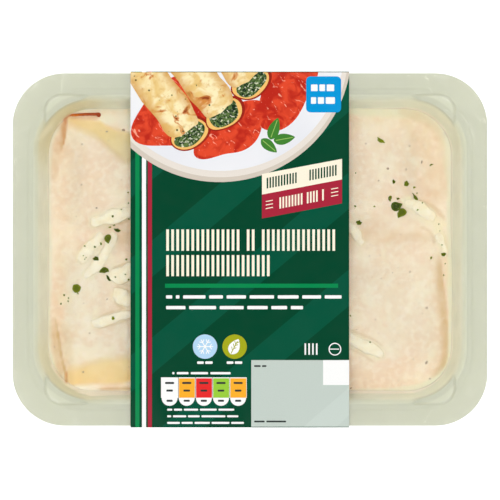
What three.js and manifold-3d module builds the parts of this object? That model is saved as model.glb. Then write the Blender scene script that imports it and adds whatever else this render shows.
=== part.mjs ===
// A chilled ready meal of cannelloni, as sold. A formed plastic tray holds two wide filled pasta rolls side
// by side in tomato sauce, under a blanket of bechamel with grated cheese and chopped parsley on top. A clear
// film is sealed to the tray's flange, and a printed board sleeve is wrapped round it, a little off centre.
// Millimetres, +Z up. The origin is under the middle of the tray, on the surface that the pack stands on.

import * as THREE from "three";
import { mergeVertices } from "three/addons/utils/BufferGeometryUtils.js";
import Module from "manifold-3d";

const wasm = await Module();
wasm.setup();

// ---------------------------------------------------------------- driving dimensions

const GAP = 0.3; // kept between neighbours that touch in the real pack
const BOARD = 0.4; // thickness of the sleeve's board

const tray = {
  halfX: 93.5, // outer edge of the flange
  halfY: 69.4,
  cornerRadius: 20.5,
  flangeX: 8.0, // width of the flange at the ends
  flangeY: 8.3, // and along the sides
  height: 35.5,
  wall: 0.7,
  mouthRadius: 22, // corner radius of the opening
  cornerTightening: 0.75, // how fast the corner radius shrinks as the wall goes in
  draft: THREE.MathUtils.degToRad(13),
  baseFillet: 9,
  footWidth: 5, // the ring that the tray stands on, inside the base fillet
  panelRise: 0.8, // how far the base panel is raised inside that ring
  lipDrop: 2.4, // from the flange down to the denesting ledge
  ledgeDrop: 3.6, // and to the foot of the ledge, where the drafted wall begins
  ledgeInset: 2.8,
};

const lobe = { insetX: 5.1, insetY: 0.05, radius: 5, drop: 1.2 }; // shallow recess in each corner

const film = { inset: 0.4, thickness: 0.2, lift: 0.1 };

const sleeve = {
  centreX: -4,
  width: 86,
  clearance: 0.25, // beside the flange
  shoulderDrop: 1.4, // how far the sides hang straight down before they slope in
  footHalfY: 51, // half the width of the bottom panel, inside the board
  overFilm: 0.2,
  fold: 0.5, // the small flat that stands for each upper crease
};

// The two rolls: centre, half sizes in plan, and the height of the crown over the tray's underside.
const rolls = {
  cannelloni_upper: { x: -2.6, y: 30.2, halfX: 70.1, halfY: 23.9, crown: 25.0 },
  cannelloni_lower: { x: 0.9, y: -24.6, halfX: 76.2, halfY: 29.6, crown: 25.4 },
};
const rollShape = {
  sectionPower: 3.6, // how square the roll is in section
  planPower: 14, // and in plan
  foot: 0.9, // height of its underside
  endHeight: 0.35, // share of the height that is left at its very ends
};

const tomatoLevel = 15;
const bechamel = {
  level: 22, // of the pool beside the rolls
  cover: 1.5, // over a roll
  drape: 2.2, // how far the blanket stands off the sides and ends of a roll
  blend: 1.0,
  ripple: 0.3,
  gridStep: 3.7,
};

// Where the bechamel has run off and the pasta shows: the ends of a streak, and its half width at each.
const bareStreaks = [
  { from: [-69, 50], to: [-59, 47], half: [1.4, 3.6] },
  { from: [-59, 47], to: [-47, 41], half: [3.6, 5.0] },
  { from: [-47, 41], to: [-32, 36], half: [5.0, 2.0] },
  { from: [-70.5, -50], to: [-59, -48], half: [3.2, 4.6] },
  { from: [-59, -48], to: [-34, -45.5], half: [4.6, 4.0] },
];
const bareDrop = 2.2;
const bareEdge = 1.5; // how far a streak fades in and out

// Grated cheese: middle, length, width, direction in degrees, and how far the strip bows sideways.
const shreds = [
  [-54.4, 13.4, 17, 5.2, 14, 1.2],
  [-64.4, 1.6, 16, 4.0, 44, -0.8],
  [-58.5, -3.4, 21, 3.4, 55, 1.2],
  [-49.6, -9.6, 9, 5.8, 20, -0.6],
  [-49.8, -18.6, 8, 5.4, -30, 0.6],
  [-54.0, -27.5, 17, 3.6, 15, 1.3],
  [40.6, 6.6, 12, 3.8, -52, 0.6],
  [67.4, 15.0, 13, 4.4, -28, 1.0],
  [75.8, 0.0, 10, 3.8, -75, 0.9],
  [45.7, -37.6, 16, 4.0, -38, -1.2],
  [-34, 6, 19, 4.4, 24, 1.5],
  [-20, -6, 17, 4.6, -47, -1.4],
  [-4, 12, 20, 4.2, 10, 1.6],
  [10, -10, 18, 4.6, 63, 1.2],
  [24, 4, 18, 4.3, -18, -1.5],
];
const shredShape = { height: 1.8, lift: 0.4, bluntness: 5, stations: 7, sides: 6 };

// Chopped parsley large enough to feel: place and size across. The finer bits are left to the finish.
const parsley = [
  [-52.0, 7.6, 2.0],
  [-55.4, -12.4, 2.6],
  [-68.1, -15.4, 3.7],
  [51.3, 42.7, 3.2],
  [56.5, 26.7, 1.8],
  [61.6, 25.9, 2.2],
  [57.0, 17.2, 3.6],
  [58.9, 14.2, 3.2],
  [46.0, 12.4, 2.4],
];
const flake = { corners: 7, sunk: 0.6, proud: 0.5 };

const colours = {
  tray: 0xd3d6bf,
  film: 0xf4f6f4,
  board: 0x0f5238,
  pasta: 0xe9c88f,
  tomato: 0xb8502c,
  bechamel: 0xf1dfc4,
  cheese: 0xf6ecc9,
};

// ---------------------------------------------------------------- solids and geometries

// Any closed geometry as a solid, with shared corners merged.
function solidOf(geometry) {
  const bare = geometry.clone();
  bare.deleteAttribute("normal");
  bare.deleteAttribute("uv");
  const merged = mergeVertices(bare, 1e-4);
  return new wasm.Manifold(
    new wasm.Mesh({
      numProp: 3,
      vertProperties: new Float32Array(merged.attributes.position.array),
      triVerts: new Uint32Array(merged.index.array),
    }),
  );
}

function geometryOf(solid) {
  const mesh = solid.getMesh();
  const geometry = new THREE.BufferGeometry();
  geometry.setAttribute("position", new THREE.BufferAttribute(mesh.vertProperties, 3));
  geometry.setIndex(new THREE.BufferAttribute(mesh.triVerts, 1));
  geometry.computeVertexNormals();
  return geometry;
}

// The main piece of a cut, without the loose scraps that a cut can leave.
function mainPiece(solid) {
  return solid.decompose().reduce((a, b) => (a.volume() > b.volume() ? a : b));
}

// A closed skin through rings of equally many points, with a flat cap on the first and on the last.
function loft(rings) {
  const count = rings[0].length;
  const points = rings.flat();
  const triangles = [];
  for (let i = 0; i + 1 < rings.length; i++) {
    for (let j = 0; j < count; j++) {
      const next = (j + 1) % count;
      const [a, b] = [i * count + j, i * count + next];
      triangles.push(a, b, b + count, a, b + count, a + count);
    }
  }
  for (const [ring, first] of [[rings[0], 0], [rings.at(-1), (rings.length - 1) * count]]) {
    const middle = points.length;
    const sum = ring.reduce((total, p) => total.add(p), new THREE.Vector3());
    points.push(sum.divideScalar(count));
    for (let j = 0; j < count; j++) {
      const [a, b] = [first + j, first + ((j + 1) % count)];
      if (first === 0) triangles.push(middle, b, a);
      else triangles.push(middle, a, b);
    }
  }
  const geometry = new THREE.BufferGeometry().setFromPoints(points);
  geometry.setIndex(triangles);
  return geometry;
}

// A rounded rectangle in plan at height z, counter-clockwise from above.
function ring(halfX, halfY, radius, z) {
  const cornerSteps = 7;
  const points = [];
  for (const [corner, sx, sy] of [[0, 1, 1], [1, -1, 1], [2, -1, -1], [3, 1, -1]]) {
    for (let i = 0; i <= cornerSteps; i++) {
      const turn = ((corner + i / cornerSteps) * Math.PI) / 2;
      points.push(
        new THREE.Vector3(
          sx * (halfX - radius) + radius * Math.cos(turn),
          sy * (halfY - radius) + radius * Math.sin(turn),
          z,
        ),
      );
    }
  }
  return points;
}

// ---------------------------------------------------------------- the tray

const mouth = { halfX: tray.halfX - tray.flangeX, halfY: tray.halfY - tray.flangeY };

// A ring of the tray's wall, a given way in from the mouth.
function wallRing(inset, z) {
  const radius = Math.max(tray.mouthRadius - tray.cornerTightening * inset, 1);
  return ring(mouth.halfX - inset, mouth.halfY - inset, radius, z);
}

// The inner skin in section, as [inset, height] from the mouth down to the raised panel of the floor.
function innerProfile() {
  const { height, wall, draft, baseFillet, lipDrop, ledgeDrop, ledgeInset } = tray;
  const wallInset = (drop) => ledgeInset + (drop - ledgeDrop) * Math.tan(draft);
  const profile = [
    [0, height],
    [0.55, height - 0.3],
    [0.95, height - 0.95],
    [1.1, height - lipDrop],
    [1.5, height - lipDrop - 0.5],
    [2.4, height - ledgeDrop + 0.4],
    [ledgeInset, height - ledgeDrop],
  ];
  const centreDrop = height - wall - baseFillet;
  const tangentDrop = centreDrop + baseFillet * Math.sin(draft);
  const centreInset = wallInset(tangentDrop) + baseFillet * Math.cos(draft);
  const steps = 5;
  for (let i = 0; i <= steps; i++) {
    const turn = THREE.MathUtils.lerp(draft, Math.PI / 2, i / steps);
    profile.push([
      centreInset - baseFillet * Math.cos(turn),
      height - centreDrop - baseFillet * Math.sin(turn),
    ]);
  }
  const foot = centreInset + tray.footWidth;
  profile.push([foot, wall], [foot + 1.6, wall + tray.panelRise]);
  return profile;
}

// The same section moved a given way towards the inside of the tray (or outwards, if negative).
function movedIn(profile, distance) {
  return profile.map(([inset, z], i) => {
    const [a, b] = [profile[Math.max(i - 1, 0)], profile[Math.min(i + 1, profile.length - 1)]];
    const along = new THREE.Vector2(b[0] - a[0], b[1] - a[1]).normalize();
    return [inset - along.y * distance, z + along.x * distance];
  });
}

// The shell, with a recess and the skin under it in each corner.
function trayGeometry() {
  const inner = innerProfile();
  const outer = movedIn(inner, -tray.wall).slice(3).reverse();
  const underFlange = tray.height - tray.wall;
  const edge = (z) => ring(tray.halfX, tray.halfY, tray.cornerRadius, z);
  const shell = solidOf(
    loft([
      ...outer.map(([inset, z]) => wallRing(inset, z)),
      wallRing(-0.5, underFlange),
      edge(underFlange),
      edge(tray.height),
      ...inner.map(([inset, z]) => wallRing(inset, z)),
    ]),
  );
  const lobePrism = (grow, low, high) =>
    solidOf(
      loft(
        [low, high].map((z) =>
          ring(mouth.halfX - lobe.insetX + grow, mouth.halfY - lobe.insetY + grow, lobe.radius + grow, z),
        ),
      ),
    );
  const floor = tray.height - lobe.drop;
  const inside = [...inner].reverse().map(([inset, z]) => wallRing(inset, z));
  const cavity = solidOf(loft([...inside, wallRing(0, tray.height + 1)]));
  return geometryOf(
    shell
      .add(lobePrism(tray.wall, floor - tray.wall, tray.height - 0.2))
      .subtract(lobePrism(0, floor, tray.height + 1))
      .subtract(cavity),
  );
}

// The tray's inside up to a height on its drafted wall, drawn in by a gap all round.
function foodSpace(gap, top) {
  const walls = movedIn(innerProfile(), gap).reverse();
  const above = walls.findIndex(([, z]) => z > top);
  const [low, high] = [walls[above - 1], walls[above]];
  const inset = THREE.MathUtils.mapLinear(top, low[1], high[1], low[0], high[0]);
  return loft([...walls.slice(0, above), [inset, top]].map(([way, z]) => wallRing(way, z)));
}

// ---------------------------------------------------------------- the film and the sleeve

function filmGeometry() {
  const low = tray.height + film.lift;
  return loft(
    [low, low + film.thickness].map((z) =>
      ring(tray.halfX - film.inset, tray.halfY - film.inset, tray.cornerRadius - film.inset, z),
    ),
  );
}

// The sleeve's section across the pack: flat over the film, down at the flange, sloping in to the base.
function sleeveGeometry() {
  const under = tray.height + film.lift + film.thickness + sleeve.overFilm;
  const shoulder = tray.halfY + sleeve.clearance;
  const section = (grow) => [
    [sleeve.footHalfY + grow, -GAP - grow],
    [shoulder + grow, tray.height - sleeve.shoulderDrop],
    [shoulder + grow, under + grow - sleeve.fold],
    [shoulder + grow - sleeve.fold, under + grow],
  ];
  const loop = (grow) => {
    const right = section(grow);
    const left = right.map(([y, z]) => [-y, z]).reverse();
    return [...right, ...left].map(([y, z]) => new THREE.Vector2(y, z));
  };
  const outline = new THREE.Shape(loop(BOARD));
  outline.holes.push(new THREE.Path(loop(0)));
  const geometry = new THREE.ExtrudeGeometry(outline, { depth: sleeve.width, bevelEnabled: false });
  geometry.rotateX(Math.PI / 2).rotateZ(Math.PI / 2);
  return geometry.translate(sleeve.centreX - sleeve.width / 2, 0, 0);
}

// ---------------------------------------------------------------- the food

const superellipse = (t, power) => Math.pow(Math.max(1 - Math.pow(Math.abs(t), power), 0), 1 / power);

// A roll's section somewhere along it, from -1 at one end to 1 at the other: flat, with a crown that wanders.
// The roll can be grown in plan and in height.
function rollSection(roll, along, inPlan, inHeight) {
  const share = superellipse(along, rollShape.planPower);
  const x = roll.x + along * (roll.halfX + inPlan);
  const wander = 0.5 * Math.sin(x / 17 + roll.y) + 0.3 * Math.sin(x / 7.3 + 2);
  const crown = roll.crown + wander * share + inHeight;
  const taper = THREE.MathUtils.lerp(rollShape.endHeight, 1, share);
  return {
    x,
    halfWidth: (roll.halfY + inPlan) * share,
    middle: (crown + rollShape.foot) / 2,
    halfHeight: ((crown - rollShape.foot) / 2) * taper,
  };
}

// A soft pasta roll, lofted through its sections, which crowd towards the ends.
function rollGeometry(roll, grow) {
  const stations = 18;
  const sides = 24;
  const bulge = (v) => Math.sign(v) * Math.pow(Math.abs(v), 2 / rollShape.sectionPower);
  const rings = [];
  for (let i = 0; i <= stations; i++) {
    const along = -Math.cos((Math.PI * (i + 0.25)) / (stations + 0.5));
    const { x, halfWidth, middle, halfHeight } = rollSection(roll, along, grow, grow);
    const points = [];
    for (let j = 0; j < sides; j++) {
      const turn = (2 * Math.PI * j) / sides;
      const y = roll.y + halfWidth * bulge(Math.cos(turn));
      points.push(new THREE.Vector3(x, y, middle + halfHeight * bulge(Math.sin(turn))));
    }
    rings.push(points);
  }
  return loft(rings);
}

// The height of the blanket that a roll holds up over a place in plan, or 0 beside it.
function drapedTop(roll, x, y) {
  const along = (x - roll.x) / (roll.halfX + bechamel.drape);
  if (Math.abs(along) >= 1) return 0;
  const { halfWidth, middle, halfHeight } = rollSection(roll, along, bechamel.drape, bechamel.cover);
  const across = (y - roll.y) / halfWidth;
  if (Math.abs(across) >= 1) return 0;
  return middle + halfHeight * superellipse(across, rollShape.sectionPower);
}

// How bare the pasta is at a place because of one streak, from 0 under bechamel to 1.
function streakBareness({ from, to, half }, x, y) {
  const line = new THREE.Line3(new THREE.Vector3(...from, 0), new THREE.Vector3(...to, 0));
  const place = new THREE.Vector3(x, y, 0);
  const along = line.closestPointToPointParameter(place, true);
  const distance = line.at(along, new THREE.Vector3()).distanceTo(place);
  const reach = THREE.MathUtils.lerp(half[0], half[1], along);
  return 1 - THREE.MathUtils.smoothstep(distance, reach - bareEdge, reach + bareEdge);
}

const bareness = (x, y) => Math.max(...bareStreaks.map((streak) => streakBareness(streak, x, y)));

// The top of the bechamel: a pool with the rolls swelling up through it.
function bechamelTop(x, y) {
  const { level, blend, ripple } = bechamel;
  const heights = [level, ...Object.values(rolls).map((roll) => drapedTop(roll, x, y))];
  const pooled = blend * Math.log(heights.reduce((sum, h) => sum + Math.exp(h / blend), 0));
  const waves = ripple * (Math.sin(x / 9 + y / 13) + Math.sin(y / 7.5 - x / 21 + 1.3));
  return pooled + waves - bareDrop * bareness(x, y);
}

// The plan of the tray's inside as a grid of equal cells.
const grid = {
  halfX: mouth.halfX - 3,
  halfY: mouth.halfY - 3,
  nx: Math.ceil((2 * (mouth.halfX - 3)) / bechamel.gridStep),
  ny: Math.ceil((2 * (mouth.halfY - 3)) / bechamel.gridStep),
};
const gridX = (i) => THREE.MathUtils.lerp(-grid.halfX, grid.halfX, i / grid.nx);
const gridY = (j) => THREE.MathUtils.lerp(-grid.halfY, grid.halfY, j / grid.ny);

// A block with a wavy top over the whole grid.
function bechamelBlock(base) {
  const rings = [];
  for (let i = 0; i <= grid.nx; i++) {
    const x = gridX(i);
    const top = [];
    for (let j = grid.ny; j >= 0; j--) {
      top.push(new THREE.Vector3(x, gridY(j), bechamelTop(x, gridY(j))));
    }
    rings.push([new THREE.Vector3(x, grid.halfY, base), ...top, new THREE.Vector3(x, -grid.halfY, base)]);
  }
  return loft(rings);
}

// The height of the block's faceted top, for what lies on it.
function facetedTop(x, y) {
  const [u, v] = [
    ((x + grid.halfX) / (2 * grid.halfX)) * grid.nx,
    ((y + grid.halfY) / (2 * grid.halfY)) * grid.ny,
  ];
  const [i, j] = [Math.floor(u), Math.floor(v)];
  const row = (n) =>
    THREE.MathUtils.lerp(bechamelTop(gridX(i), gridY(n)), bechamelTop(gridX(i + 1), gridY(n)), u - i);
  return THREE.MathUtils.lerp(row(j), row(j + 1), v - j);
}

// A flake of parsley: a crooked little plate, sunk by half in what it lies on.
function flakeGeometry([x, y, size], index) {
  const level = facetedTop(x, y);
  const rings = [-flake.sunk, flake.proud].map((lift) => {
    const points = [];
    for (let k = 0; k < flake.corners; k++) {
      const turn = (2 * Math.PI * k) / flake.corners;
      const reach = (size / 2) * (0.8 + 0.28 * Math.sin(3 * turn + index * 1.7));
      const [px, py] = [x + reach * Math.cos(turn), y + reach * Math.sin(turn)];
      points.push(new THREE.Vector3(px, py, level + lift));
    }
    return points;
  });
  return loft(rings);
}

// A strip of grated cheese that lies over the bechamel, bowed in plan and rounded at its ends.
function shredGeometry([x, y, length, width, degrees, bow]) {
  const direction = THREE.MathUtils.degToRad(degrees);
  const [dx, dy] = [Math.cos(direction), Math.sin(direction)];
  const { height, lift, bluntness, stations, sides } = shredShape;
  const rings = [];
  for (let i = 0; i <= stations; i++) {
    const along = -Math.cos((Math.PI * (i + 0.3)) / (stations + 0.6));
    const share = superellipse(along, bluntness);
    const side = bow * (1 - along * along);
    const px = x + (along * length * dx) / 2 - side * dy;
    const py = y + (along * length * dy) / 2 + side * dx;
    const points = [];
    for (let j = 0; j < sides; j++) {
      const turn = (2 * Math.PI * (j + 0.5)) / sides;
      const across = (width / 2) * share * Math.cos(turn);
      const rise = (height / 2) * (1 + share * Math.sin(turn));
      const [qx, qy] = [px - across * dy, py + across * dx];
      points.push(new THREE.Vector3(qx, qy, facetedTop(qx, qy) + lift + rise));
    }
    rings.push(points);
  }
  return loft(rings);
}

// ---------------------------------------------------------------- the pack

const food = solidOf(foodSpace(GAP, tray.height - 2 * tray.ledgeDrop));
const grown = Object.values(rolls)
  .map((roll) => solidOf(rollGeometry(roll, GAP)))
  .reduce((a, b) => a.add(b));

function rollPiece(roll) {
  return geometryOf(solidOf(rollGeometry(roll, 0)).intersect(food));
}

function tomatoGeometry() {
  const pool = solidOf(foodSpace(GAP, tomatoLevel));
  return geometryOf(mainPiece(pool.subtract(grown)));
}

function bechamelGeometry() {
  const blanket = solidOf(bechamelBlock(tomatoLevel + GAP)).intersect(food).subtract(grown);
  const flakes = parsley.map((place, i) => solidOf(flakeGeometry(place, i)));
  return geometryOf(mainPiece(flakes.reduce((a, b) => a.add(b), mainPiece(blanket))));
}

const finish = (color, roughness, extra = {}) =>
  new THREE.MeshStandardMaterial({ color, roughness, metalness: 0, ...extra });

const materials = {
  tray: finish(colours.tray, 0.45),
  film: finish(colours.film, 0.08, { transparent: true, opacity: 0.2 }),
  board: finish(colours.board, 0.35),
  pasta: finish(colours.pasta, 0.5),
  tomato: finish(colours.tomato, 0.3),
  bechamel: finish(colours.bechamel, 0.35),
  cheese: finish(colours.cheese, 0.4),
};

function named(name, geometry, material) {
  const mesh = new THREE.Mesh(geometry, material);
  mesh.name = name;
  return mesh;
}

const pack = new THREE.Group();
pack.position.z = BOARD + GAP; // the tray stands on the sleeve's bottom panel
pack.add(named("tray", trayGeometry(), materials.tray));
pack.add(named("tomato_sauce", tomatoGeometry(), materials.tomato));
for (const [name, roll] of Object.entries(rolls)) {
  pack.add(named(name, rollPiece(roll), materials.pasta));
}
pack.add(named("bechamel", bechamelGeometry(), materials.bechamel));
shreds.forEach((shred, i) => {
  const name = "cheese_shred_" + String(i + 1).padStart(2, "0");
  pack.add(named(name, shredGeometry(shred), materials.cheese));
});
pack.add(named("film", filmGeometry(), materials.film));
pack.add(named("sleeve", sleeveGeometry(), materials.board));

const readyMeal = new THREE.Group();
readyMeal.add(pack);

export default readyMeal;
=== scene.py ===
# The looks of a chilled cannelloni ready meal: a formed tray with two filled pasta rolls in tomato sauce,
# under bechamel, grated cheese and parsley, sealed with clear film and wrapped by a printed board sleeve.
# Sizes are in millimetres until a mesh is made. +X runs along the tray, +Y across it and +Z up.

import math
from types import SimpleNamespace as Sizes

import bpy
import numpy as np
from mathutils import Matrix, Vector
from mathutils.geometry import delaunay_2d_cdt


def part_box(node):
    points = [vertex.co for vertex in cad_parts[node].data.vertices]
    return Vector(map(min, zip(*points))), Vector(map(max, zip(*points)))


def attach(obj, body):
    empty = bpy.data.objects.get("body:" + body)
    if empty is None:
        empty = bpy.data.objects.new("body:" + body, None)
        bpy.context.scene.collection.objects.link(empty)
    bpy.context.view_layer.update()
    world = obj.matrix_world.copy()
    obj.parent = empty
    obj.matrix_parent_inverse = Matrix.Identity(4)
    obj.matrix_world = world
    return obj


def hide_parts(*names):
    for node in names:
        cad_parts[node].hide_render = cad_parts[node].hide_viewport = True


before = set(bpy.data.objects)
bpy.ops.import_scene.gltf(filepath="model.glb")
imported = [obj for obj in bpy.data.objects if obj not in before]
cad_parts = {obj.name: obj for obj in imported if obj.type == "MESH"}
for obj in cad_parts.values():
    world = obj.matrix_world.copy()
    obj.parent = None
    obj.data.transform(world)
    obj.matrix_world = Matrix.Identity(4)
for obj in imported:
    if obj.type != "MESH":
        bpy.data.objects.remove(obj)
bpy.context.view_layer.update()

MM = 0.001


def box_mm(node):
    """The low and high corner of a solid's box, in millimetres."""
    low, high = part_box(node)
    return np.array(low) / MM, np.array(high) / MM


# ---------------------------------------------------------------- sizes

tray_low, tray_high = box_mm("tray")
sleeve_low, sleeve_high = box_mm("sleeve")
STAND = tray_low[2]  # of the tray's foot over the surface; food and tray heights count from there
RIM = tray_high[2] - STAND

tray = Sizes(
    half=tray_high[:2],
    corner_radius=20.5,
    flange=np.array([8.0, 8.3]),
    wall=0.7,
    mouth_radius=22.0,
    corner_tightening=0.75,  # of the wall's corner radius, for each millimetre further in
    draft=math.radians(13),
    base_fillet=9.0,
    foot_width=5.0,
    panel_rise=0.8,
    panel_slope=1.6,
    lip=[(0, 0), (0.7, 0.14), (1.35, 0.55), (1.9, 1.2), (2.3, 2.0), (2.58, 2.9), (2.8, 3.6)],  # inset, drop
    edge_rounding=0.2,
    bead_out=1.7,
    bead_width=0.45,
    bead_height=0.1,
)
MOUTH = tray.half - tray.flange
# The shallow recess in each corner of the flange.
lobe = Sizes(inset=np.array([4.8, 0.2]), radius=6.5, drop=1.1, step=1.1, run_in=4.0)

film = Sizes(thickness=0.06, wave=0.09, step=1.6, corner_radius=20.1)
sleeve = Sizes(board=0.4, side_end=34.8, foot=51.4, top_fold=0.8, side_fold=2.5, foot_fold=0.7, seam=0.05)

rolls = {
    "cannelloni_upper": Sizes(x=-2.6, y=30.2, half_x=70.1, half_y=23.9, crown=25.0),
    "cannelloni_lower": Sizes(x=0.9, y=-24.6, half_x=76.2, half_y=29.6, crown=25.4),
}
roll_shape = Sizes(
    section_power=3.6,
    plan_power=14,
    foot=0.9,
    end_height=0.35,
    wrinkle=0.12,
    gap=0.1,
    under_sauce=0.5,
    stations=110,
    sides=96,
)
bechamel = Sizes(
    level=22.0,  # of the pool round the rolls
    base=15.3,
    cover=1.5,
    drape=2.2,
    shoulder=11.0,
    corner=9.0,
    blend=1.3,
    ripple=0.3,
    climb=0.3,  # how far it creeps up the tray's wall
    climb_reach=1.3,
    bare_drop=1.0,
    melt_rise=0.5,
    over_pasta=0.3,
    thinnest=0.4,
    gap=0.05,
    step=0.63,
)

# Bands where the bechamel has run off and golden pasta shows: their two long edges, and the softness of each.
bare_bands = [
    Sizes(
        high=[(-72.5, 52.4), (-58.9, 50.7), (-56.7, 49.1), (-52.8, 47.2), (-47.2, 45.9), (-36, 44),
              (-22, 43)],
        low=[(-72.5, 50.2), (-67.9, 47.4), (-63.6, 46.0), (-58.9, 43.3), (-55.8, 40.2), (-52.7, 37.0),
             (-47.2, 34.0), (-36, 36), (-22, 43)],
        soft_high=1.0,
        soft_low=2.6,
    ),
    Sizes(
        high=[(-72.5, -47.5), (-66.6, -45.8), (-60.2, -43.8), (-56.8, -42.9), (-47, -42.4), (-36, -43),
              (-20, -50)],
        low=[(-72.5, -55.8), (-70.0, -54.2), (-67.0, -53.2), (-60.2, -52.9), (-53.4, -52.9), (-47, -52.2),
             (-36, -51), (-20, -50)],
        soft_high=2.4,
        soft_low=0.9,
    ),
]

# Marks on the bechamel: a path, its half width at the start and at the end, how many times wider it is on
# the left of its direction, and how strong it is. Each tapers to its ends.
stains = [  # tomato that has seeped up
    ([(-70.6, 53.3), (-72.2, 52.8), (-73.1, 51.4), (-72.7, 48.8)], 0.7, 0.75, 1, 1.0),
    ([(-74.0, 40.0), (-73.1, 44.0), (-72.7, 50.8)], 0.08, 0.75, 2.6, 0.56),
    ([(-76.0, 37.5), (-74.4, 45.5)], 1.3, 1.5, 1, 0.24),
    ([(-72.0, 52.4), (-66.0, 52.5), (-59.0, 52.2)], 1.0, 1.2, 1, 0.42),
    ([(-72.6, -56.2), (-72.2, -52.2), (-72.5, -47.8)], 0.4, 0.45, 1.6, 0.4),
    ([(-59.5, -55.2), (-55.0, -55.0), (-44.0, -55.0)], 0.4, 0.5, 1, 0.2),
]
creases_and_shade = [  # tan lines where the sauce runs thin over an edge, partly painted shade in valleys and at the wall's foot
    ([(-74.6, 38.6), (-73.2, 43.0), (-72.6, 50.4)], 0.2, 0.75, 4.5, 0.62),
    ([(-77.6, 26.0), (-77.2, 37.0), (-75.6, 46.0)], 1.1, 2.0, 1, 0.34),
    ([(-73.0, -57.2), (-72.3, -52.0), (-72.4, -49.0), (-73.3, -45.9), (-74.5, -40.9), (-75.2, -35.5),
      (-77.0, -26.0)], 0.5, 0.55, 1.5, 0.85),
    ([(-74.0, -56.0), (-75.4, -46.0), (-76.8, -37.0), (-77.6, -27.0)], 1.2, 1.8, 1, 0.5),
    ([(-71.0, -54.0), (-72.4, -42.0), (-74.0, -28.0)], 1.8, 2.6, 1, 0.24),
    ([(71.2, -51.0), (75.0, -48.1), (77.3, -44.5), (77.8, -38.6), (77.6, -31.8), (77.3, -25.5), (76.7, -20.1),
      (76.0, -15.8), (75.4, -11.0), (75.3, -6.0), (74.6, -1.0)], 0.55, 0.6, 3.8, 0.62),
    ([(76.8, -44.0), (77.5, -38.6), (77.3, -30.0), (76.9, -23.0)], 0.6, 0.6, 1, 0.66),
    ([(28.0, 5.9), (51.2, 5.3), (63.0, 4.9), (74.0, 4.9)], 2.2, 1.8, 1, 0.3),
    ([(-52.5, 5.0), (-49.5, 4.5), (-38.0, 8.0)], 2.6, 3.0, 1, 0.5),
    ([(-52.5, 9.6), (-49.9, 10.6), (-46.5, 12.0)], 0.4, 0.5, 1, 0.5),
    ([(-54.6, -7.6), (-49.5, -5.8), (-46.0, -4.9)], 0.45, 0.5, 1, 0.55),
    ([(-61.0, -55.0), (-53.4, -54.8), (-44.0, -54.8)], 0.5, 0.6, 1, 0.5),
    ([(66.0, 19.4), (71.8, 17.6), (74.9, 14.6), (77.2, 11.6)], 0.7, 0.8, 1, 0.5),
    ([(66.5, 8.9), (70.0, 7.9), (71.6, 6.2), (72.5, 4.0), (72.6, 1.5)], 0.5, 0.6, 1, 0.4),
    ([(-46.0, -14.8), (-48.6, -14.0), (-50.5, -13.5), (-53.0, -13.8)], 0.7, 0.4, 1, 0.45),
    ([(-46.0, -16.9), (-48.2, -16.2), (-49.8, -15.4), (-51.2, -14.7), (-53.4, -14.9)], 0.6, 0.4, 1, 0.5),
    ([(-48.6, -23.5), (-51.8, -22.2), (-53.6, -20.0)], 0.5, 0.35, 1, 0.5),
    ([(-49.2, -23.4), (-53.8, -24.4), (-56.8, -25.4), (-60.6, -27.2)], 0.45, 0.35, 1, 0.45),
    ([(-58.8, -30.6), (-53.8, -29.7), (-50.1, -28.2), (-46.0, -27.0)], 0.4, 0.5, 1, 0.35),
    ([(38.0, -31.0), (43.0, -33.0), (48.5, -35.2), (52.6, -38.2)], 0.5, 0.4, 1, 0.42),
    ([(38.0, -38.6), (43.3, -40.5), (46.4, -42.9), (49.6, -44.9)], 0.5, 0.4, 1, 0.42),
    ([(73.0, 49.5), (75.4, 39.0), (76.1, 30.0), (76.2, 18.0)], 1.9, 2.0, 1, 0.34),
    ([(59.0, 52.0), (63.5, 48.0), (66.0, 42.0)], 2.0, 2.4, 1, 0.22),
    ([(66.0, 50.0), (71.0, 42.0), (72.6, 30.0), (72.6, 16.0)], 3.0, 2.8, 1, 0.24),
    ([(58.0, 55.0), (68.0, 52.0), (73.0, 48.5), (76.0, 40.0)], 2.0, 2.2, 1, 0.4),
]
puddles = [  # thicker, whiter sauce
    ([(-60.5, 51.8), (-52.8, 51.2), (-36.0, 50.2)], 1.6, 3.4, 1, 0.9),
    ([(-71.0, -55.4), (-65.0, -55.6), (-58.0, -55.4)], 1.5, 1.7, 1, 0.9),
    ([(-62.0, -57.2), (-53.9, -57.0), (-36.0, -57.2)], 1.3, 1.3, 1, 0.9),
]
melts = [  # cheese that has melted into the sauce
    ([(62.5, 17.6), (65.9, 16.4), (69.9, 13.7), (73.4, 10.6), (75.1, 5.1), (76.0, -1.0)], 2.0, 1.6, 1, 1.0),
    ([(76.4, 1.0), (77.5, -8.0), (78.0, -17.0)], 1.3, 1.0, 1, 0.35),
    ([(66.0, 14.5), (71.5, 11.6), (77.5, 10.0)], 2.2, 1.9, 1, 0.8),
    ([(59.6, 17.6), (64.0, 20.2)], 1.9, 1.5, 1, 1.0),
    ([(-75.4, -20.9), (-69.1, -18.0)], 1.9, 1.6, 1, 0.5),
    ([(-64.5, 9.0), (-56.0, 11.5), (-47.0, 14.6)], 1.8, 2.6, 1, 0.6),
    ([(-52.6, -6.4), (-55.0, -3.4), (-54.4, -0.6)], 1.4, 1.2, 1, 0.5),
]
HALO = 0.72  # the soft border about a strip of cheese, in the strip's own widths

# Where sauce has run up the tray's wall: place, reach along the wall, and height.
splashes = [
    (-62.0, -56.0, 13.0, 7.5), (-34.0, -57.0, 20.0, 6.5), (58.0, -57.0, 22.0, 4.0), (60.0, 55.0, 22.0, 2.2),
    (-76.0, -48.0, 5.0, 2.5), (30.0, -57.0, 30.0, 3.5),
]

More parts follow.
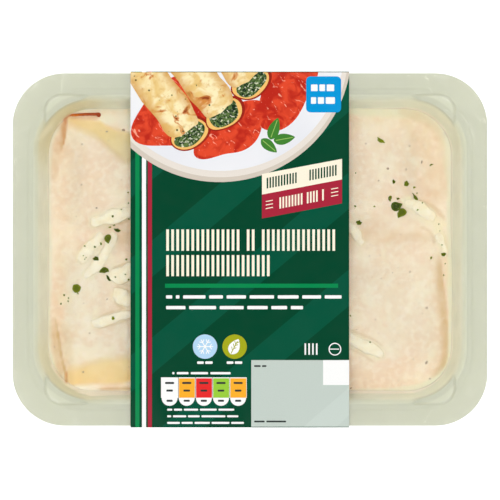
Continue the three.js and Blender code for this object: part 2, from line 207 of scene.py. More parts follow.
# Grated cheese: middle, length, width, direction in degrees, and how far the strip bows sideways.
shreds = [
    [-54.6, 13.3, 17, 5.6, 15.5, -0.6],
    [-62.9, 0.8, 14.5, 4.9, 51, -0.4],
    [-59.0, -2.3, 21.5, 4.2, 56, -1.3],
    [-50.2, -9.4, 10.5, 6.6, 18, -0.4],
    [-50.0, -19.2, 8.6, 6.0, -28, 0.4],
    [-54.0, -27.0, 17, 4.0, 15, -0.2],
    [40.6, 6.6, 12, 3.8, -52, 0.6],
    [66.9, 15.2, 13.5, 5.0, -30, 0.9],
    [74.9, 1.6, 9.5, 3.2, -75, 0.9],
    [44.9, -38.0, 17, 4.9, -29, 0.3],
    [-34, 6, 19, 4.4, 24, 1.5],
    [-20, -6, 17, 4.6, -47, -1.4],
    [-4, 12, 20, 4.2, 10, 1.6],
    [10, -10, 18, 4.6, 63, 1.2],
    [24, 4, 18, 4.3, -18, -1.5],
]
shred_shape = Sizes(
    bluntness=3.0,
    flatness=0.22,
    stiffness=9,  # how many stations it bridges across a hollow
    lift=0.05,
    unevenness=1.3,
    lump_size=3.0,
    stations=36,
    sides=20,
)
SHREDS_SHOWN = 10  # the rest lie under the sleeve

# Chopped parsley. Leaves: place, length, width, kind of scrap, turn in degrees, and tone from dark to light.
leaves = [
    (-52.4, 7.7, 3.0, 1.5, "wing", 145, 0.1), (-56.0, 4.3, 3.6, 2.6, "wing", 67, 0.45),
    (-60.6, -3.5, 2.5, 1.7, "lobed", 180, 0.15), (-57.2, -8.1, 3.8, 2.4, "wing", -6, 0.3),
    (-55.5, -11.2, 3.0, 1.4, "splinter", -50, 0.1), (-68.1, -15.6, 3.5, 4.1, "round", 0, 0.6),
    (51.3, 42.7, 3.9, 1.5, "lobed", -30, 0.9), (71.5, 33.4, 1.7, 0.8, "bean", 35, 0.7),
    (56.5, 26.7, 1.8, 1.2, "lobed", 100, 0.25), (61.6, 25.9, 2.4, 1.9, "lobed", 80, 0.55),
    (64.5, 24.4, 1.7, 0.8, "lobed", 5, 0.95), (54.9, 20.1, 2.3, 1.4, "wing", 70, 0.4),
    (58.1, 19.9, 1.5, 0.9, "lobed", 0, 0.35), (57.4, 16.8, 4.3, 3.7, "wing", 165, 0.05),
    (59.5, 14.6, 4.1, 3.3, "wing", 20, 0.5), (64.8, 20.8, 3.7, 1.3, "splinter", -52, 0.45),
    (43.1, 10.6, 2.8, 1.9, "lobed", 20, 0.4), (76.3, -2.0, 2.1, 1.5, "lobed", 10, 0.4),
]
# Crumbs of it: place and size across.
leaf_crumbs = [
    (-55.1, 8.9, 1.2), (-53.5, 9.6, 1.0), (-58.7, 2.2, 1.2), (-61.0, 1.0, 1.0), (-65.0, 1.4, 0.8),
    (-65.4, -2.4, 0.6), (-64.4, -3.1, 0.6), (-64.9, -3.8, 0.6), (-52.8, -10.8, 0.8), (-73.0, -18.0, 1.2),
    (-71.3, -19.1, 0.8), (-71.5, -20.3, 0.8), (-74.3, -21.4, 1.1), (-48.5, -3.9, 1.1), (-53.9, 13.0, 1.0),
    (-50.5, 15.7, 0.8), (-47.9, 22.4, 0.8), (-47.7, 18.2, 0.8), (-47.6, 12.0, 0.8), (-47.7, -11.8, 0.9),
    (-53.7, -27.0, 1.5), (65.9, 15.6, 1.0), (48.8, 16.9, 0.9), (41.3, 17.0, 1.0), (74.5, 10.0, 0.8),
    (75.6, 1.8, 0.7), (71.2, -3.3, 1.3), (76.9, -5.6, 0.7), (76.3, -10.1, 0.7), (39.4, -26.0, 0.9),
    (47.1, -36.3, 0.8), (67.9, 18.4, 0.6), (65.7, 22.1, 0.9), (41.5, 30.0, 0.7), (74.9, 7.3, 0.5),
    (-48.9, -9.8, 0.7),
]
# Specks of pepper and herb: place, size along and across, and how deep they are in the sauce, from 0 to 1.
specks = [
    (67.6, 34.6, 1.0, 1.6, 0.35), (53.9, 31.7, 1.3, 1.1, 0.4), (61.2, 31.5, 1.2, 1.2, 0.6),
    (50.4, 27.0, 0.8, 0.8, 0.6), (69.3, -44.3, 1.4, 2.2, 0.45), (70.9, -50.8, 0.8, 0.8, 0.3),
    (39.7, -54.5, 1.2, 1.1, 0.4), (69.3, -23.0, 1.1, 1.3, 0.7), (63.0, -8.9, 1.1, 1.2, 0.8),
    (-60.2, 16.3, 1.0, 0.9, 0.35), (-56.3, 46.3, 1.0, 0.9, 0.5), (-49.6, 47.0, 1.6, 0.9, 0.35),
    (-65.9, 41.3, 1.0, 0.8, 0.6), (-66.1, 25.4, 1.0, 0.9, 0.65), (-55.9, -19.5, 1.2, 0.5, 0.4),
    (-63.0, -32.9, 1.0, 0.9, 0.7), (-65.7, -48.2, 0.9, 0.9, 0.3), (-77.0, -38.4, 0.8, 0.8, 0.6),
    (45.5, 41.5, 1.0, 1.0, 0.8), (62.6, 40.7, 1.0, 0.9, 0.8), (-67.9, -56.0, 1.1, 1.5, 0.6),
]
SPARE_SPECKS = 90  # fine ones, strewn

# The thin line of dark tomato that stands between a roll's edge and the wall.
tomato_line = Sizes(
    path=[(-71.9, 52.9), (-65.4, 53.2), (-60.9, 53.2), (-59.3, 53.3), (-60.0, 52.2)],
    width=1.6,
    thinnest=0.05,
    flatness=0.45,
    unevenness=0.16,
    lump_size=1.5,
    stations=40,
    sides=12,
)

SENSOR = 36.0
CAMERA_HEIGHT = 900.0  # over the rim
SEEN_WIDTH = 196.85  # across the view, at the rim
VIEW_DROP = -0.2  # how far the middle of the view is off the tray's, in Y
FOOD_DEPTH = RIM - bechamel.level - 3  # of the food's mean surface under the rim
DEEPER = 1 + FOOD_DEPTH / CAMERA_HEIGHT  # places on the food are given as at the rim, and widen by this


# ---------------------------------------------------------------- numbers and shapes

def smoothstep(value, low, high):
    """0 below one value and 1 above another, with an eased rise between them."""
    t = np.clip((value - low) / (high - low), 0, 1)
    return t * t * (3 - 2 * t)


def superellipse(t, power):
    """The height of a squared-off half round that is 1 high and reaches 1 to either side."""
    return np.maximum(1 - np.abs(t) ** power, 0) ** (1 / power)


def waves(x, y, length, seed, count=7):
    """A smooth uneven field about 0, of waves around one length in seeded directions."""
    draw = np.random.RandomState(seed)
    total = 0
    for _ in range(count):
        turn, phase = draw.uniform(0, 2 * math.pi, 2)
        k = 2 * math.pi / (length * draw.uniform(0.7, 1.5))
        total = total + np.sin(k * (x * math.cos(turn) + y * math.sin(turn)) + phase)
    return total / count


def softened(points, rounds):
    """A polyline with its corners cut, its ends kept."""
    points = np.asarray(points, float)
    for _ in range(rounds):
        near = points[:-1] * 0.75 + points[1:] * 0.25
        far = points[:-1] * 0.25 + points[1:] * 0.75
        middle = np.stack([near, far], axis=1).reshape(-1, points.shape[1])
        points = np.concatenate([points[:1], middle[1:-1], points[-1:]])
    return points


def rounded_distance(x, y, half_x, half_y, radius):
    """How far a place is outside a rounded rectangle; inside it is negative."""
    qx = np.abs(x) - (half_x - radius)
    qy = np.abs(y) - (half_y - radius)
    outside = np.hypot(np.maximum(qx, 0), np.maximum(qy, 0))
    return outside + np.minimum(np.maximum(qx, qy), 0) - radius


def onto_rounded(x, y, half_x, half_y, radius):
    """The nearest place on the rounded rectangle."""
    qx = np.abs(x) - (half_x - radius)
    qy = np.abs(y) - (half_y - radius)
    away = rounded_distance(x, y, half_x, half_y, radius)
    length = np.maximum(np.hypot(qx, qy), 1e-9)
    corner = (qx > 0) & (qy > 0)
    gx = np.where(corner, qx / length, (qx > qy).astype(float))
    gy = np.where(corner, qy / length, (qx <= qy).astype(float))
    return x - away * gx * np.sign(x), y - away * gy * np.sign(y)


def turned(u, v, x, y, turn):
    """The place that lies u along and v across a turned direction from (x, y)."""
    return x + u * math.cos(turn) - v * math.sin(turn), y + u * math.sin(turn) + v * math.cos(turn)


def rect(x0, x1, y0, y1):
    """A rectangle, counter-clockwise."""
    return [(x0, y0), (x1, y0), (x1, y1), (x0, y1)]


def rounded_ring(half_x, half_y, radius, corner_steps, side_steps):
    """A rounded rectangle, counter-clockwise, with equally many points at any size."""
    in_x, in_y = half_x - radius, half_y - radius
    centres = [(in_x, in_y), (-in_x, in_y), (-in_x, -in_y), (in_x, -in_y)]

    def on_corner(corner, quarters):
        x, y = centres[corner % 4]
        turn = quarters * math.pi / 2
        return x + radius * math.cos(turn), y + radius * math.sin(turn)

    points = []
    for corner in range(4):
        points += [on_corner(corner, corner + i / corner_steps) for i in range(corner_steps + 1)]
        start, end = points[-1], on_corner(corner + 1, corner + 1)
        for i in range(1, side_steps):
            share = i / side_steps
            points.append((start[0] + (end[0] - start[0]) * share, start[1] + (end[1] - start[1]) * share))
    return np.array(points)


def loft(rings):
    """Points and faces of a closed skin through rings of equally many points, with a fan on either end."""
    count = len(rings[0])
    points = np.concatenate([np.asarray(ring) for ring in rings] + [[rings[0].mean(0)], [rings[-1].mean(0)]])
    faces = []
    for i in range(len(rings) - 1):
        for j in range(count):
            a, b = i * count + j, i * count + (j + 1) % count
            faces.append((a, b, b + count, a + count))
    last = (len(rings) - 1) * count
    for j in range(count):
        k = (j + 1) % count
        faces.append((len(points) - 2, k, j))
        faces.append((len(points) - 1, last + j, last + k))
    return points, faces


def sheet(step, top, under, edge):
    """A closed sheet on a square grid whose border is moved onto an edge: points, faces and plan places."""
    half_x, half_y, _ = edge(np.array([RIM]))
    nx, ny = int(half_x[0] / step) + 2, int(half_y[0] / step) + 2
    x, y = np.meshgrid(np.arange(-nx, nx + 1) * step, np.arange(-ny, ny + 1) * step)
    snap = 0.35 * step
    loose = rounded_distance(x, y, *edge(top(x, y))) < -snap
    for _ in range(3):
        moved = onto_rounded(x, y, *edge(top(x, y)))
        x, y = np.where(loose, x, moved[0]), np.where(loose, y, moved[1])
    number = np.arange(x.size).reshape(x.shape)
    corners = [number[:-1, :-1], number[:-1, 1:], number[1:, 1:], number[1:, :-1]]
    cells = np.stack(corners, axis=-1).reshape(-1, 4)
    cells = cells[loose.ravel()[cells].any(axis=1)]
    used, cells = np.unique(cells, return_inverse=True)
    cells = cells.reshape(-1, 4)
    x, y = x.ravel()[used], y.ravel()[used]
    z = top(x, y)
    low = under(x, y, z)
    points = np.concatenate([np.stack([x, y, z], axis=1), low])
    edges = np.concatenate([cells[:, [k, (k + 1) % 4]] for k in range(4)])
    known = set(map(tuple, edges.tolist()))  # an edge whose reverse isn't among them is on the border
    faces = cells.tolist() + (cells[:, ::-1] + len(used)).tolist()
    faces += [(a, a + len(used), b + len(used), b) for a, b in edges.tolist() if (b, a) not in known]
    return points, faces, np.tile(x, 2), np.tile(y, 2)


# ---------------------------------------------------------------- pieces

def in_scene(name, data):
    """A new object at the origin, linked into the scene."""
    thing = bpy.data.objects.new(name, data)
    bpy.context.scene.collection.objects.link(thing)
    return thing


def mesh_piece(name, points, faces, finishes, lift=0.0, face_finish=None, sharp=None):
    """A smooth piece from points in millimetres. Folds past an angle, sharp, in degrees stay crisp."""
    mesh = bpy.data.meshes.new(name)
    mesh.from_pydata(((np.asarray(points, float) + [0, 0, lift]) * MM).tolist(), [], faces)
    for finish in finishes:
        mesh.materials.append(finish)
    if face_finish is not None:
        mesh.polygons.foreach_set("material_index", face_finish)
    mesh.polygons.foreach_set("use_smooth", [True] * len(mesh.polygons))
    if sharp is not None:
        mesh.set_sharp_from_angle(angle=math.radians(sharp))
    mesh.update()
    return in_scene(name, mesh)


def seed_points(name, points, edges=()):
    """Bare points, joined by edges or loose, for a tree of nodes to grow on."""
    mesh = bpy.data.meshes.new(name)
    mesh.from_pydata(((np.array(points) + [0, 0, STAND]) * MM).tolist(), list(edges), [])
    return in_scene(name, mesh)


def mark(piece, name, values, kind="FLOAT"):
    """Stores a number (or a vector) for each point of a piece."""
    layer = piece.data.attributes.new(name, kind, "POINT")
    values = np.asarray(values, np.int32 if kind == "INT" else np.float32)
    layer.data.foreach_set("vector" if kind == "FLOAT_VECTOR" else "value", values.ravel())


def joins_pack(piece, slot, *nodes):
    """Puts a piece on the pack's one body and in the place of some solids. The slot it is given is not used.
    """
    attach(piece, "root")
    if nodes:
        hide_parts(*nodes)


# ---------------------------------------------------------------- finishes

def linear(colour):
    """A colour from 0 to 255, as it is seen, turned into shares of light."""
    shares = [c / 255 for c in colour]
    return [s / 12.92 if s <= 0.04045 else ((s + 0.055) / 1.055) ** 2.4 for s in shares] + [1.0]


class Finish:
    """A procedural material: one Principled surface, and short helpers for what feeds it."""

    def __init__(self, name, **sockets):
        self.material = bpy.data.materials.new(name)
        self.material.use_nodes = True
        self.tree = self.material.node_tree
        self.surface = self.tree.nodes["Principled BSDF"]
        self.place = self.node("ShaderNodeTexCoord").outputs["Object"]
        for socket, value in sockets.items():
            self.feed(self.surface.inputs[socket.replace("_", " ")], value)

    def feed(self, socket, value):
        if isinstance(value, bpy.types.NodeSocket):
            self.tree.links.new(value, socket)
        elif isinstance(value, tuple) and socket.type == "RGBA":
            socket.default_value = linear(value)
        else:
            socket.default_value = value

    def node(self, kind, inputs=(), **settings):
        node = self.tree.nodes.new(kind)
        for key, value in settings.items():
            setattr(node, key, value)
        for index, value in dict(inputs).items():
            self.feed(node.inputs[index], value)
        return node

    def scaled(self, stretch, turn=0.0):
        """The object's own coordinates, stretched and turned about +Z."""
        lying = self.node("ShaderNodeMapping", {"Vector": self.place, "Rotation": (0, 0, turn)})
        return self.node("ShaderNodeMapping", {"Vector": lying.outputs[0], "Scale": stretch}).outputs[0]

    def noise(self, size, detail=2.0, distortion=0.0, place=None):
        """Noise whose blotches are about a given size in millimetres."""
        inputs = {"Vector": place or self.place, "Scale": 1 / (size * MM), "Detail": detail,
                  "Distortion": distortion}
        return self.node("ShaderNodeTexNoise", inputs).outputs["Fac"]

    def cells(self, size):
        """The distance to the nearest of points strewn about a given size apart."""
        inputs = {"Vector": self.place, "Scale": 1 / (size * MM)}
        return self.node("ShaderNodeTexVoronoi", inputs).outputs["Distance"]

    def ramp(self, value, low, high, to_low=0.0, to_high=1.0):
        """An eased rise from to_low to to_high while a value goes from low to high."""
        inputs = {"Value": value, 1: low, 2: high, 3: to_low, 4: to_high}
        return self.node("ShaderNodeMapRange", inputs, interpolation_type="SMOOTHSTEP").outputs[0]

    def combined(self, a, b, operation="ADD"):
        """Two values put together by one operation."""
        return self.node("ShaderNodeMath", {0: a, 1: b}, operation=operation).outputs[0]

    def blend(self, factor, a, b):
        """Colour a where the factor is 0, and b where it is 1."""
        return self.node("ShaderNodeMix", {0: factor, 6: a, 7: b}, data_type="RGBA").outputs[2]

    def mark(self, name):
        """A number that the piece's own points carry."""
        return self.node("ShaderNodeAttribute", attribute_name=name).outputs["Fac"]

    def bump(self, height, depth, strength=1.0, under=None):
        """Fine relief, of a depth in millimetres."""
        inputs = {"Height": height, "Distance": depth * MM, "Strength": strength}
        if under is not None:
            inputs["Normal"] = under
        return self.node("ShaderNodeBump", inputs).outputs[0]

    def finished(self, colour, normal=None, roughness=None):
        self.feed(self.surface.inputs["Base Color"], colour)
        if normal is not None:
            self.feed(self.surface.inputs["Normal"], normal)
        if roughness is not None:
            self.feed(self.surface.inputs["Roughness"], roughness)
        return self.material


def shaded_and_stained(f, colour):
    """A colour with tan lines, partly thin sauce and partly painted shade, and tomato stains laid over it,
    each a little uneven.
    """
    uneven = f.ramp(f.noise(5.0, 3.0), 0.25, 0.75, 0.7, 1.1)
    # The tan is partly sauce run thin over an edge and partly painted shade in valleys and at the wall's
    # foot.
    colour = f.blend(f.combined(f.mark("crease"), uneven, "MULTIPLY"), colour, (207, 173, 122))
    return f.blend(f.combined(f.mark("stain"), uneven, "MULTIPLY"), colour, (202, 118, 8))


def tray_finish():
    """Crystallised plastic, satin cream green: paler down the wall as painted light against its shade, tan
    towards the upper left corners as painted shade, and marked by the food.
    """
    f = Finish("satin tray plastic", Roughness=0.42, Specular_IOR_Level=0.3, Subsurface_Weight=0.5,
               Subsurface_Scale=0.003, Subsurface_Radius=(1.0, 1.0, 0.85))
    # Tan towards the corners is painted shade.
    wall = f.blend(f.mark("corner"), (238, 241, 220), (220, 213, 178))
    # The pale wall colour is painted light that offsets the shade on the steep wall.
    shell = f.blend(f.mark("wall"), (184, 186, 171), wall)
    shell = f.blend(f.ramp(f.noise(9.0, 3.0), 0.35, 0.7, 0.0, 0.2), shell, (193, 195, 177))
    # Sauce smeared up the wall, its colour brightened as painted light against the wall's shade.
    colour = shaded_and_stained(f, f.blend(f.mark("smear"), shell, (255, 248, 230)))
    grain = f.bump(f.noise(0.5, 3.0), 0.015)
    dimples = f.bump(f.noise(6.0, 2.0), 0.05, under=grain)
    return f.finished(colour, dimples, f.ramp(f.noise(3.0), 0.3, 0.7, 0.36, 0.48))


def film_finish():
    """Clear lidding film: nearly all of the light goes through, and its gloss shows at low angles."""
    f = Finish("clear lidding film")
    clear = f.node("ShaderNodeBsdfTransparent", {0: (254, 254, 253)})
    gloss = f.node("ShaderNodeBsdfGlossy", {"Color": (255, 255, 255), "Roughness": 0.06})
    f.feed(gloss.inputs["Normal"], f.bump(f.noise(22.0, 2.0, 1.5), 0.12, 0.6))
    facing = f.node("ShaderNodeLayerWeight", {"Blend": 0.5}).outputs["Facing"]
    edge_on = f.combined(facing, 5.0, "POWER")
    shine = f.combined(f.combined(edge_on, 0.8, "MULTIPLY"), 0.018)
    mix = f.node("ShaderNodeMixShader", {0: shine, 1: clear.outputs[0], 2: gloss.outputs[0]})
    f.tree.links.new(mix.outputs[0], f.tree.nodes["Material Output"].inputs["Surface"])
    f.tree.nodes.remove(f.surface)
    return f.material


def sauce_colour(f):
    """Bechamel with its marks: golden where it is thin over pasta, stained, tan-lined partly with painted
    shade, puddled, and at its rim coloured like the wall and paler as painted light.
    """
    base = f.blend(f.ramp(f.noise(15.0, 4.0, 0.5), 0.38, 0.62), (238, 213, 187), (243, 227, 202))
    base = f.blend(f.ramp(f.noise(6.0, 4.0, 0.4), 0.45, 0.68, 0.0, 0.55), base, (236, 208, 179))
    base = f.blend(f.ramp(f.noise(2.2, 4.0), 0.45, 0.68, 0.0, 0.5), base, (249, 234, 215))
    base = f.blend(f.ramp(f.noise(1.1, 3.0), 0.58, 0.72, 0.0, 0.35), base, (220, 197, 176))
    pasta = f.blend(f.ramp(f.noise(7.0, 3.0), 0.3, 0.7), (240, 210, 152), (244, 217, 165))
    # At the rim the sauce takes the wall's colour, made paler as painted light against the shade at the foot
    # of the wall.
    colour = f.blend(f.mark("rim"), base, (233, 226, 199))
    colour = f.blend(f.mark("puddle"), colour, (245, 234, 214))
    colour = f.blend(f.mark("melt"), colour, (242, 229, 197))
    return shaded_and_stained(f, f.blend(f.mark("bare"), colour, pasta))


def bechamel_finish():
    """White sauce: moist and a little lumpy, with light soaking into it."""
    f = Finish("moist bechamel", Specular_IOR_Level=0.2, Subsurface_Weight=0.35, Subsurface_Scale=0.004,
               Subsurface_Radius=(1.0, 0.7, 0.45))
    moist = f.ramp(f.noise(4.0, 3.0), 0.3, 0.7, 0.34, 0.5)
    lumps = f.bump(f.noise(3.4, 3.0), 0.16, 0.8)
    return f.finished(sauce_colour(f), f.bump(f.noise(0.8, 2.0), 0.02, 0.6, lumps), moist)


def pasta_finish():
    """Cooked pasta: soft, with faint ridges along the roll."""
    f = Finish("cooked pasta sheet", Roughness=0.42, Specular_IOR_Level=0.2, Subsurface_Weight=0.25,
               Subsurface_Scale=0.003, Subsurface_Radius=(1.0, 0.7, 0.4))
    ridges = f.noise(1.6, 3.0, place=f.scaled((0.3, 1.0, 1.0)))
    return f.finished(sauce_colour(f), f.bump(ridges, 0.08))


def tomato_finish(name, dark, bright):
    """Wet tomato pulp, bright where the thin line of tomato starts and darker towards its end."""
    f = Finish(name, Roughness=0.4, Specular_IOR_Level=0.08, Subsurface_Weight=0.15, Subsurface_Scale=0.001)
    pulp = f.ramp(f.noise(3.0, 4.0), 0.35, 0.65)
    along = f.node("ShaderNodeSeparateXYZ", {0: f.place}).outputs["X"]
    start, end = tomato_line.path[0][0] * MM, tomato_line.path[-1][0] * MM
    darker = f.blend(f.ramp(along, start, end), bright, dark)
    return f.finished(f.blend(pulp, darker, dark), f.bump(f.noise(1.2, 3.0), 0.12))


def cheese_finish():
    """Grated cheese: cream white and faintly uneven."""
    f = Finish("soft grated cheese", Roughness=0.42, Specular_IOR_Level=0.2, Subsurface_Weight=0.3,
               Subsurface_Scale=0.003, Subsurface_Radius=(1.0, 0.8, 0.5))
    colour = f.blend(f.ramp(f.noise(2.6, 3.0), 0.35, 0.7), (255, 243, 215), (253, 237, 203))
    return f.finished(colour, f.bump(f.noise(1.4, 3.0), 0.12))


def parsley_finish():
    """Chopped parsley: dark in the middle of each scrap, yellower at its torn edge, with pale flecks that are
    painted highlights.
    """
    f = Finish("chopped parsley", Roughness=0.65, Specular_IOR_Level=0.05)
    middle = f.blend(f.mark("tone"), (40, 58, 0), (112, 124, 0))
    outer = f.blend(f.mark("tone"), (80, 100, 2), (146, 152, 12))
    leaf = f.blend(f.ramp(f.mark("edge"), 0.1, 1.0), middle, outer)
    # Pale flecks: painted highlights.
    highlight_flecks = f.ramp(f.noise(0.55, 3.0), 0.6, 0.72, 0.0, 0.7)
    colour = f.blend(highlight_flecks, leaf, (168, 172, 96))
    return f.finished(colour, f.bump(f.noise(0.35, 2.0), 0.05))


def speck_finish():
    """Pepper: brown, and paler the deeper a speck lies in the sauce."""
    f = Finish("pepper specks", Roughness=0.55, Specular_IOR_Level=0.1)
    grain = f.blend(f.ramp(f.noise(0.5, 2.0), 0.3, 0.7), (118, 92, 72), (150, 122, 98))
    return f.finished(f.blend(f.mark("tone"), grain, (228, 206, 182)))


def board_finish():
    """The sleeve's bare inside: grey board with faint fibres."""
    f = Finish("grey board", Roughness=0.75)
    fibres = f.noise(0.7, 4.0, place=f.scaled((0.35, 1.0, 1.0)))
    colour = f.blend(f.ramp(fibres, 0.35, 0.65), (205, 203, 196), (222, 220, 214))
    return f.finished(colour, f.bump(fibres, 0.03))


def printed(name):
    """Printing ink on coated board: satin, with hardly any gloss."""
    return Finish(name, Roughness=0.2, Specular_IOR_Level=0.02)


def ink(name, colour):
    """A flat field of ink, with the faint unevenness of print."""
    f = printed(name)
    faint = tuple(c * 0.94 for c in colour)
    density = f.ramp(f.noise(0.35, 2.0), 0.4, 0.8, 0.0, 0.5)
    orange_peel = f.bump(f.noise(0.6, 2.0), 0.006)
    satin = f.ramp(f.noise(5.0), 0.3, 0.7, 0.17, 0.23)
    return f.finished(f.blend(density, colour, faint), orange_peel, satin)


def printed_bake():
    """The printed picture's browned cheese: pale down the middle of each roll, and darker to its sides."""
    f = printed("ink of browned cheese")
    base = f.blend(f.ramp(f.noise(6.0, 3.0, 0.8), 0.35, 0.65), (246, 232, 186), (231, 196, 124))
    base = f.blend(f.ramp(f.noise(1.6, 4.0), 0.5, 0.75, 0.0, 0.6), base, (214, 170, 92))
    toasted = f.noise(7.0, 4.0, 1.2)
    base = f.blend(f.ramp(toasted, 0.56, 0.64, 0.0, 0.9), base, (205, 124, 52))
    base = f.blend(f.ramp(toasted, 0.64, 0.7), base, (140, 58, 26))
    herbs = f.ramp(f.cells(2.6), 0.12, 0.2, 1.0, 0.0)
    chosen = f.ramp(f.noise(4.0, 1.0), 0.54, 0.58)
    base = f.blend(f.combined(herbs, chosen, "MULTIPLY"), base, (62, 70, 34))
    lying = f.node("ShaderNodeMapping", {"Vector": f.place, "Rotation": (0, 0, -picture.lean)})
    across = f.node("ShaderNodeSeparateXYZ", {0: lying.outputs[0]}).outputs["Y"]
    first = picture.first[1] * math.cos(picture.lean) - picture.first[0] * math.sin(picture.lean)
    off_axis = f.combined(f.combined(across, 1 / MM, "MULTIPLY"), first, "SUBTRACT")
    for reach in (picture.pitch, picture.pitch / 2):
        off_axis = f.combined(off_axis, reach, "PINGPONG")
    return f.finished(f.blend(f.ramp(off_axis, 3.0, 7.6, 0.0, 0.75), base, (206, 150, 78)))


def printed_filling():
    """The printed picture's spinach filling."""
    f = printed("ink of spinach filling")
    leaf = f.blend(f.ramp(f.noise(1.2, 3.0, 1.0), 0.4, 0.6), (24, 46, 28), (92, 118, 62))
    return f.finished(f.blend(f.ramp(f.noise(1.0, 2.0, 0.5), 0.56, 0.66), leaf, (214, 216, 188)))


def printed_sauce():
    """The printed picture's tomato sauce."""
    f = printed("ink of tomato sauce")
    base = f.blend(f.ramp(f.noise(5.0, 3.0, 1.0), 0.35, 0.65), (184, 38, 24), (222, 72, 42))
    glints = f.noise(1.8, 3.0, 1.5, f.scaled((0.45, 1.0, 1.0), 0.7))
    return f.finished(f.blend(f.ramp(glints, 0.62, 0.7, 0.0, 0.8), base, (248, 178, 150)))


def printed_plate():
    """The printed picture's plate."""
    f = printed("ink of white plate")
    return f.finished(f.blend(f.ramp(f.noise(30.0, 1.0), 0.3, 0.7), (236, 236, 238), (226, 227, 232)))


# ---------------------------------------------------------------- the tray

def wall_size(inset):
    """Half sizes and corner radius of the tray's wall, a given way in from the mouth."""
    radius = np.maximum(tray.mouth_radius - tray.corner_tightening * inset, 1)
    return MOUTH[0] - inset, MOUTH[1] - inset, radius


def inner_profile():
    """The inner skin in section, as inset and height, from the mouth to the raised floor panel."""
    wall_rings, fillet_rings = 14, 9
    points = [(inset, RIM - drop) for inset, drop in tray.lip]
    lip_inset, lip_drop = tray.lip[-1]
    centre_drop = RIM - tray.wall - tray.base_fillet
    tangent_drop = centre_drop + tray.base_fillet * math.sin(tray.draft)
    tangent_inset = lip_inset + (tangent_drop - lip_drop) * math.tan(tray.draft)
    centre_inset = tangent_inset + tray.base_fillet * math.cos(tray.draft)
    for share in np.linspace(0, 1, wall_rings)[1:-1]:
        points.append((lip_inset + (tangent_inset - lip_inset) * share,
                       RIM - lip_drop - (tangent_drop - lip_drop) * share))
    for turn in np.linspace(tray.draft, math.pi / 2, fillet_rings):
        points.append((centre_inset - tray.base_fillet * math.cos(turn),
                       RIM - centre_drop - tray.base_fillet * math.sin(turn)))
    panel = centre_inset + tray.foot_width
    points += [(panel, tray.wall), (panel + tray.panel_slope, tray.wall + tray.panel_rise)]
    return np.array(points)


def moved_in(profile, distance):
    """The profile moved a given way towards the inside of the tray."""
    along = np.gradient(profile, axis=0)
    along /= np.linalg.norm(along, axis=1, keepdims=True)
    return profile + distance * np.stack([-along[:, 1], along[:, 0]], axis=1)


PROFILE = inner_profile()
WALL = PROFILE[:-2][::-1]  # rising from the foot to the mouth


def food_edge(z, gap=bechamel.gap):
    """The outline that food has against the tray's wall at a height."""
    return wall_size(np.interp(z, WALL[:, 1], WALL[:, 0]) + gap)


def lobe_depth(x, y):
    """How far the flange is pressed down in the shallow recess of each corner."""
    half = MOUTH - lobe.inset
    inside = smoothstep(-rounded_distance(x, y, half[0], half[1], lobe.radius), -lobe.step / 2, lobe.step / 2)
    start = MOUTH[0] - tray.mouth_radius
    return lobe.drop * inside * smoothstep(np.abs(x), start - 1, start + lobe.run_in)


def flange_ring(share, z, ease=0.0):
    """A ring of the flange, at a share of the way out from the mouth."""
    size = [m + (t - m) * share for m, t in zip(MOUTH, tray.half - ease)]
    return (*size, tray.mouth_radius + (tray.corner_radius - tray.mouth_radius) * share), z, False


def tray_rings():
    """The tray's skin from under the foot, out round the flange and down the inside: for each ring its size,
    its height, and whether it is inside."""
    bend = len(tray.lip) + 1
    inner = np.concatenate([softened(PROFILE[:bend], 2), PROFILE[bend:]])
    outer = moved_in(inner, -tray.wall)
    out_past_mouth = 0.3  # where the outer skin gives way to the flange
    outer = outer[outer[:, 0] > -out_past_mouth][::-1]
    low, rounding = RIM - tray.wall, tray.edge_rounding
    rings = [(wall_size(inset), z, False) for inset, z in outer]
    rings += [flange_ring(share, low) for share in np.linspace(0.06, 0.97, 9)]
    rings += [flange_ring(1, low, rounding), flange_ring(1, low + rounding), flange_ring(1, RIM - rounding)]
    for share in np.linspace(1, 0.03, 40):
        away = (share * tray.flange[0] - tray.bead_out) / tray.bead_width
        rings.append(flange_ring(share, RIM - tray.bead_height * (1 - math.exp(-away**2)), rounding))
    return rings + [(wall_size(inset), z, True) for inset, z in inner]


def make_tray():
    """The tray as one closed skin, with its flange pressed down in the corner recesses."""
    corner_steps, side_steps = 80, 14
    low = RIM - tray.wall  # the flange's underside
    rings, inside, depth, pressed = [], [], [], []
    for size, z, is_inside in tray_rings():
        plan = rounded_ring(*size, corner_steps, side_steps)
        sunk = lobe_depth(plan[:, 0], plan[:, 1])
        on_top = is_inside or z > low + 0.1
        rings.append(np.column_stack([plan, np.minimum(z, (RIM if on_top else low) - sunk)]))
        inside += [float(is_inside)] * len(plan)
        depth += list(np.maximum(RIM - sunk - z, 0))
        pressed += list(sunk / lobe.drop)
    points, faces = loft(rings)
    piece = mesh_piece("tray_shell", points, faces, [tray_finish()], STAND, sharp=50)
    inside, depth = np.array(inside + [0.0, 1.0]), np.array(depth + [RIM, RIM])  # with the fans' middles
    mark_tray(piece, points, inside, depth, np.array(pressed + [0.0, 0.0]) * (1 - inside))
    joins_pack(piece, "tray_plastic", "tray")


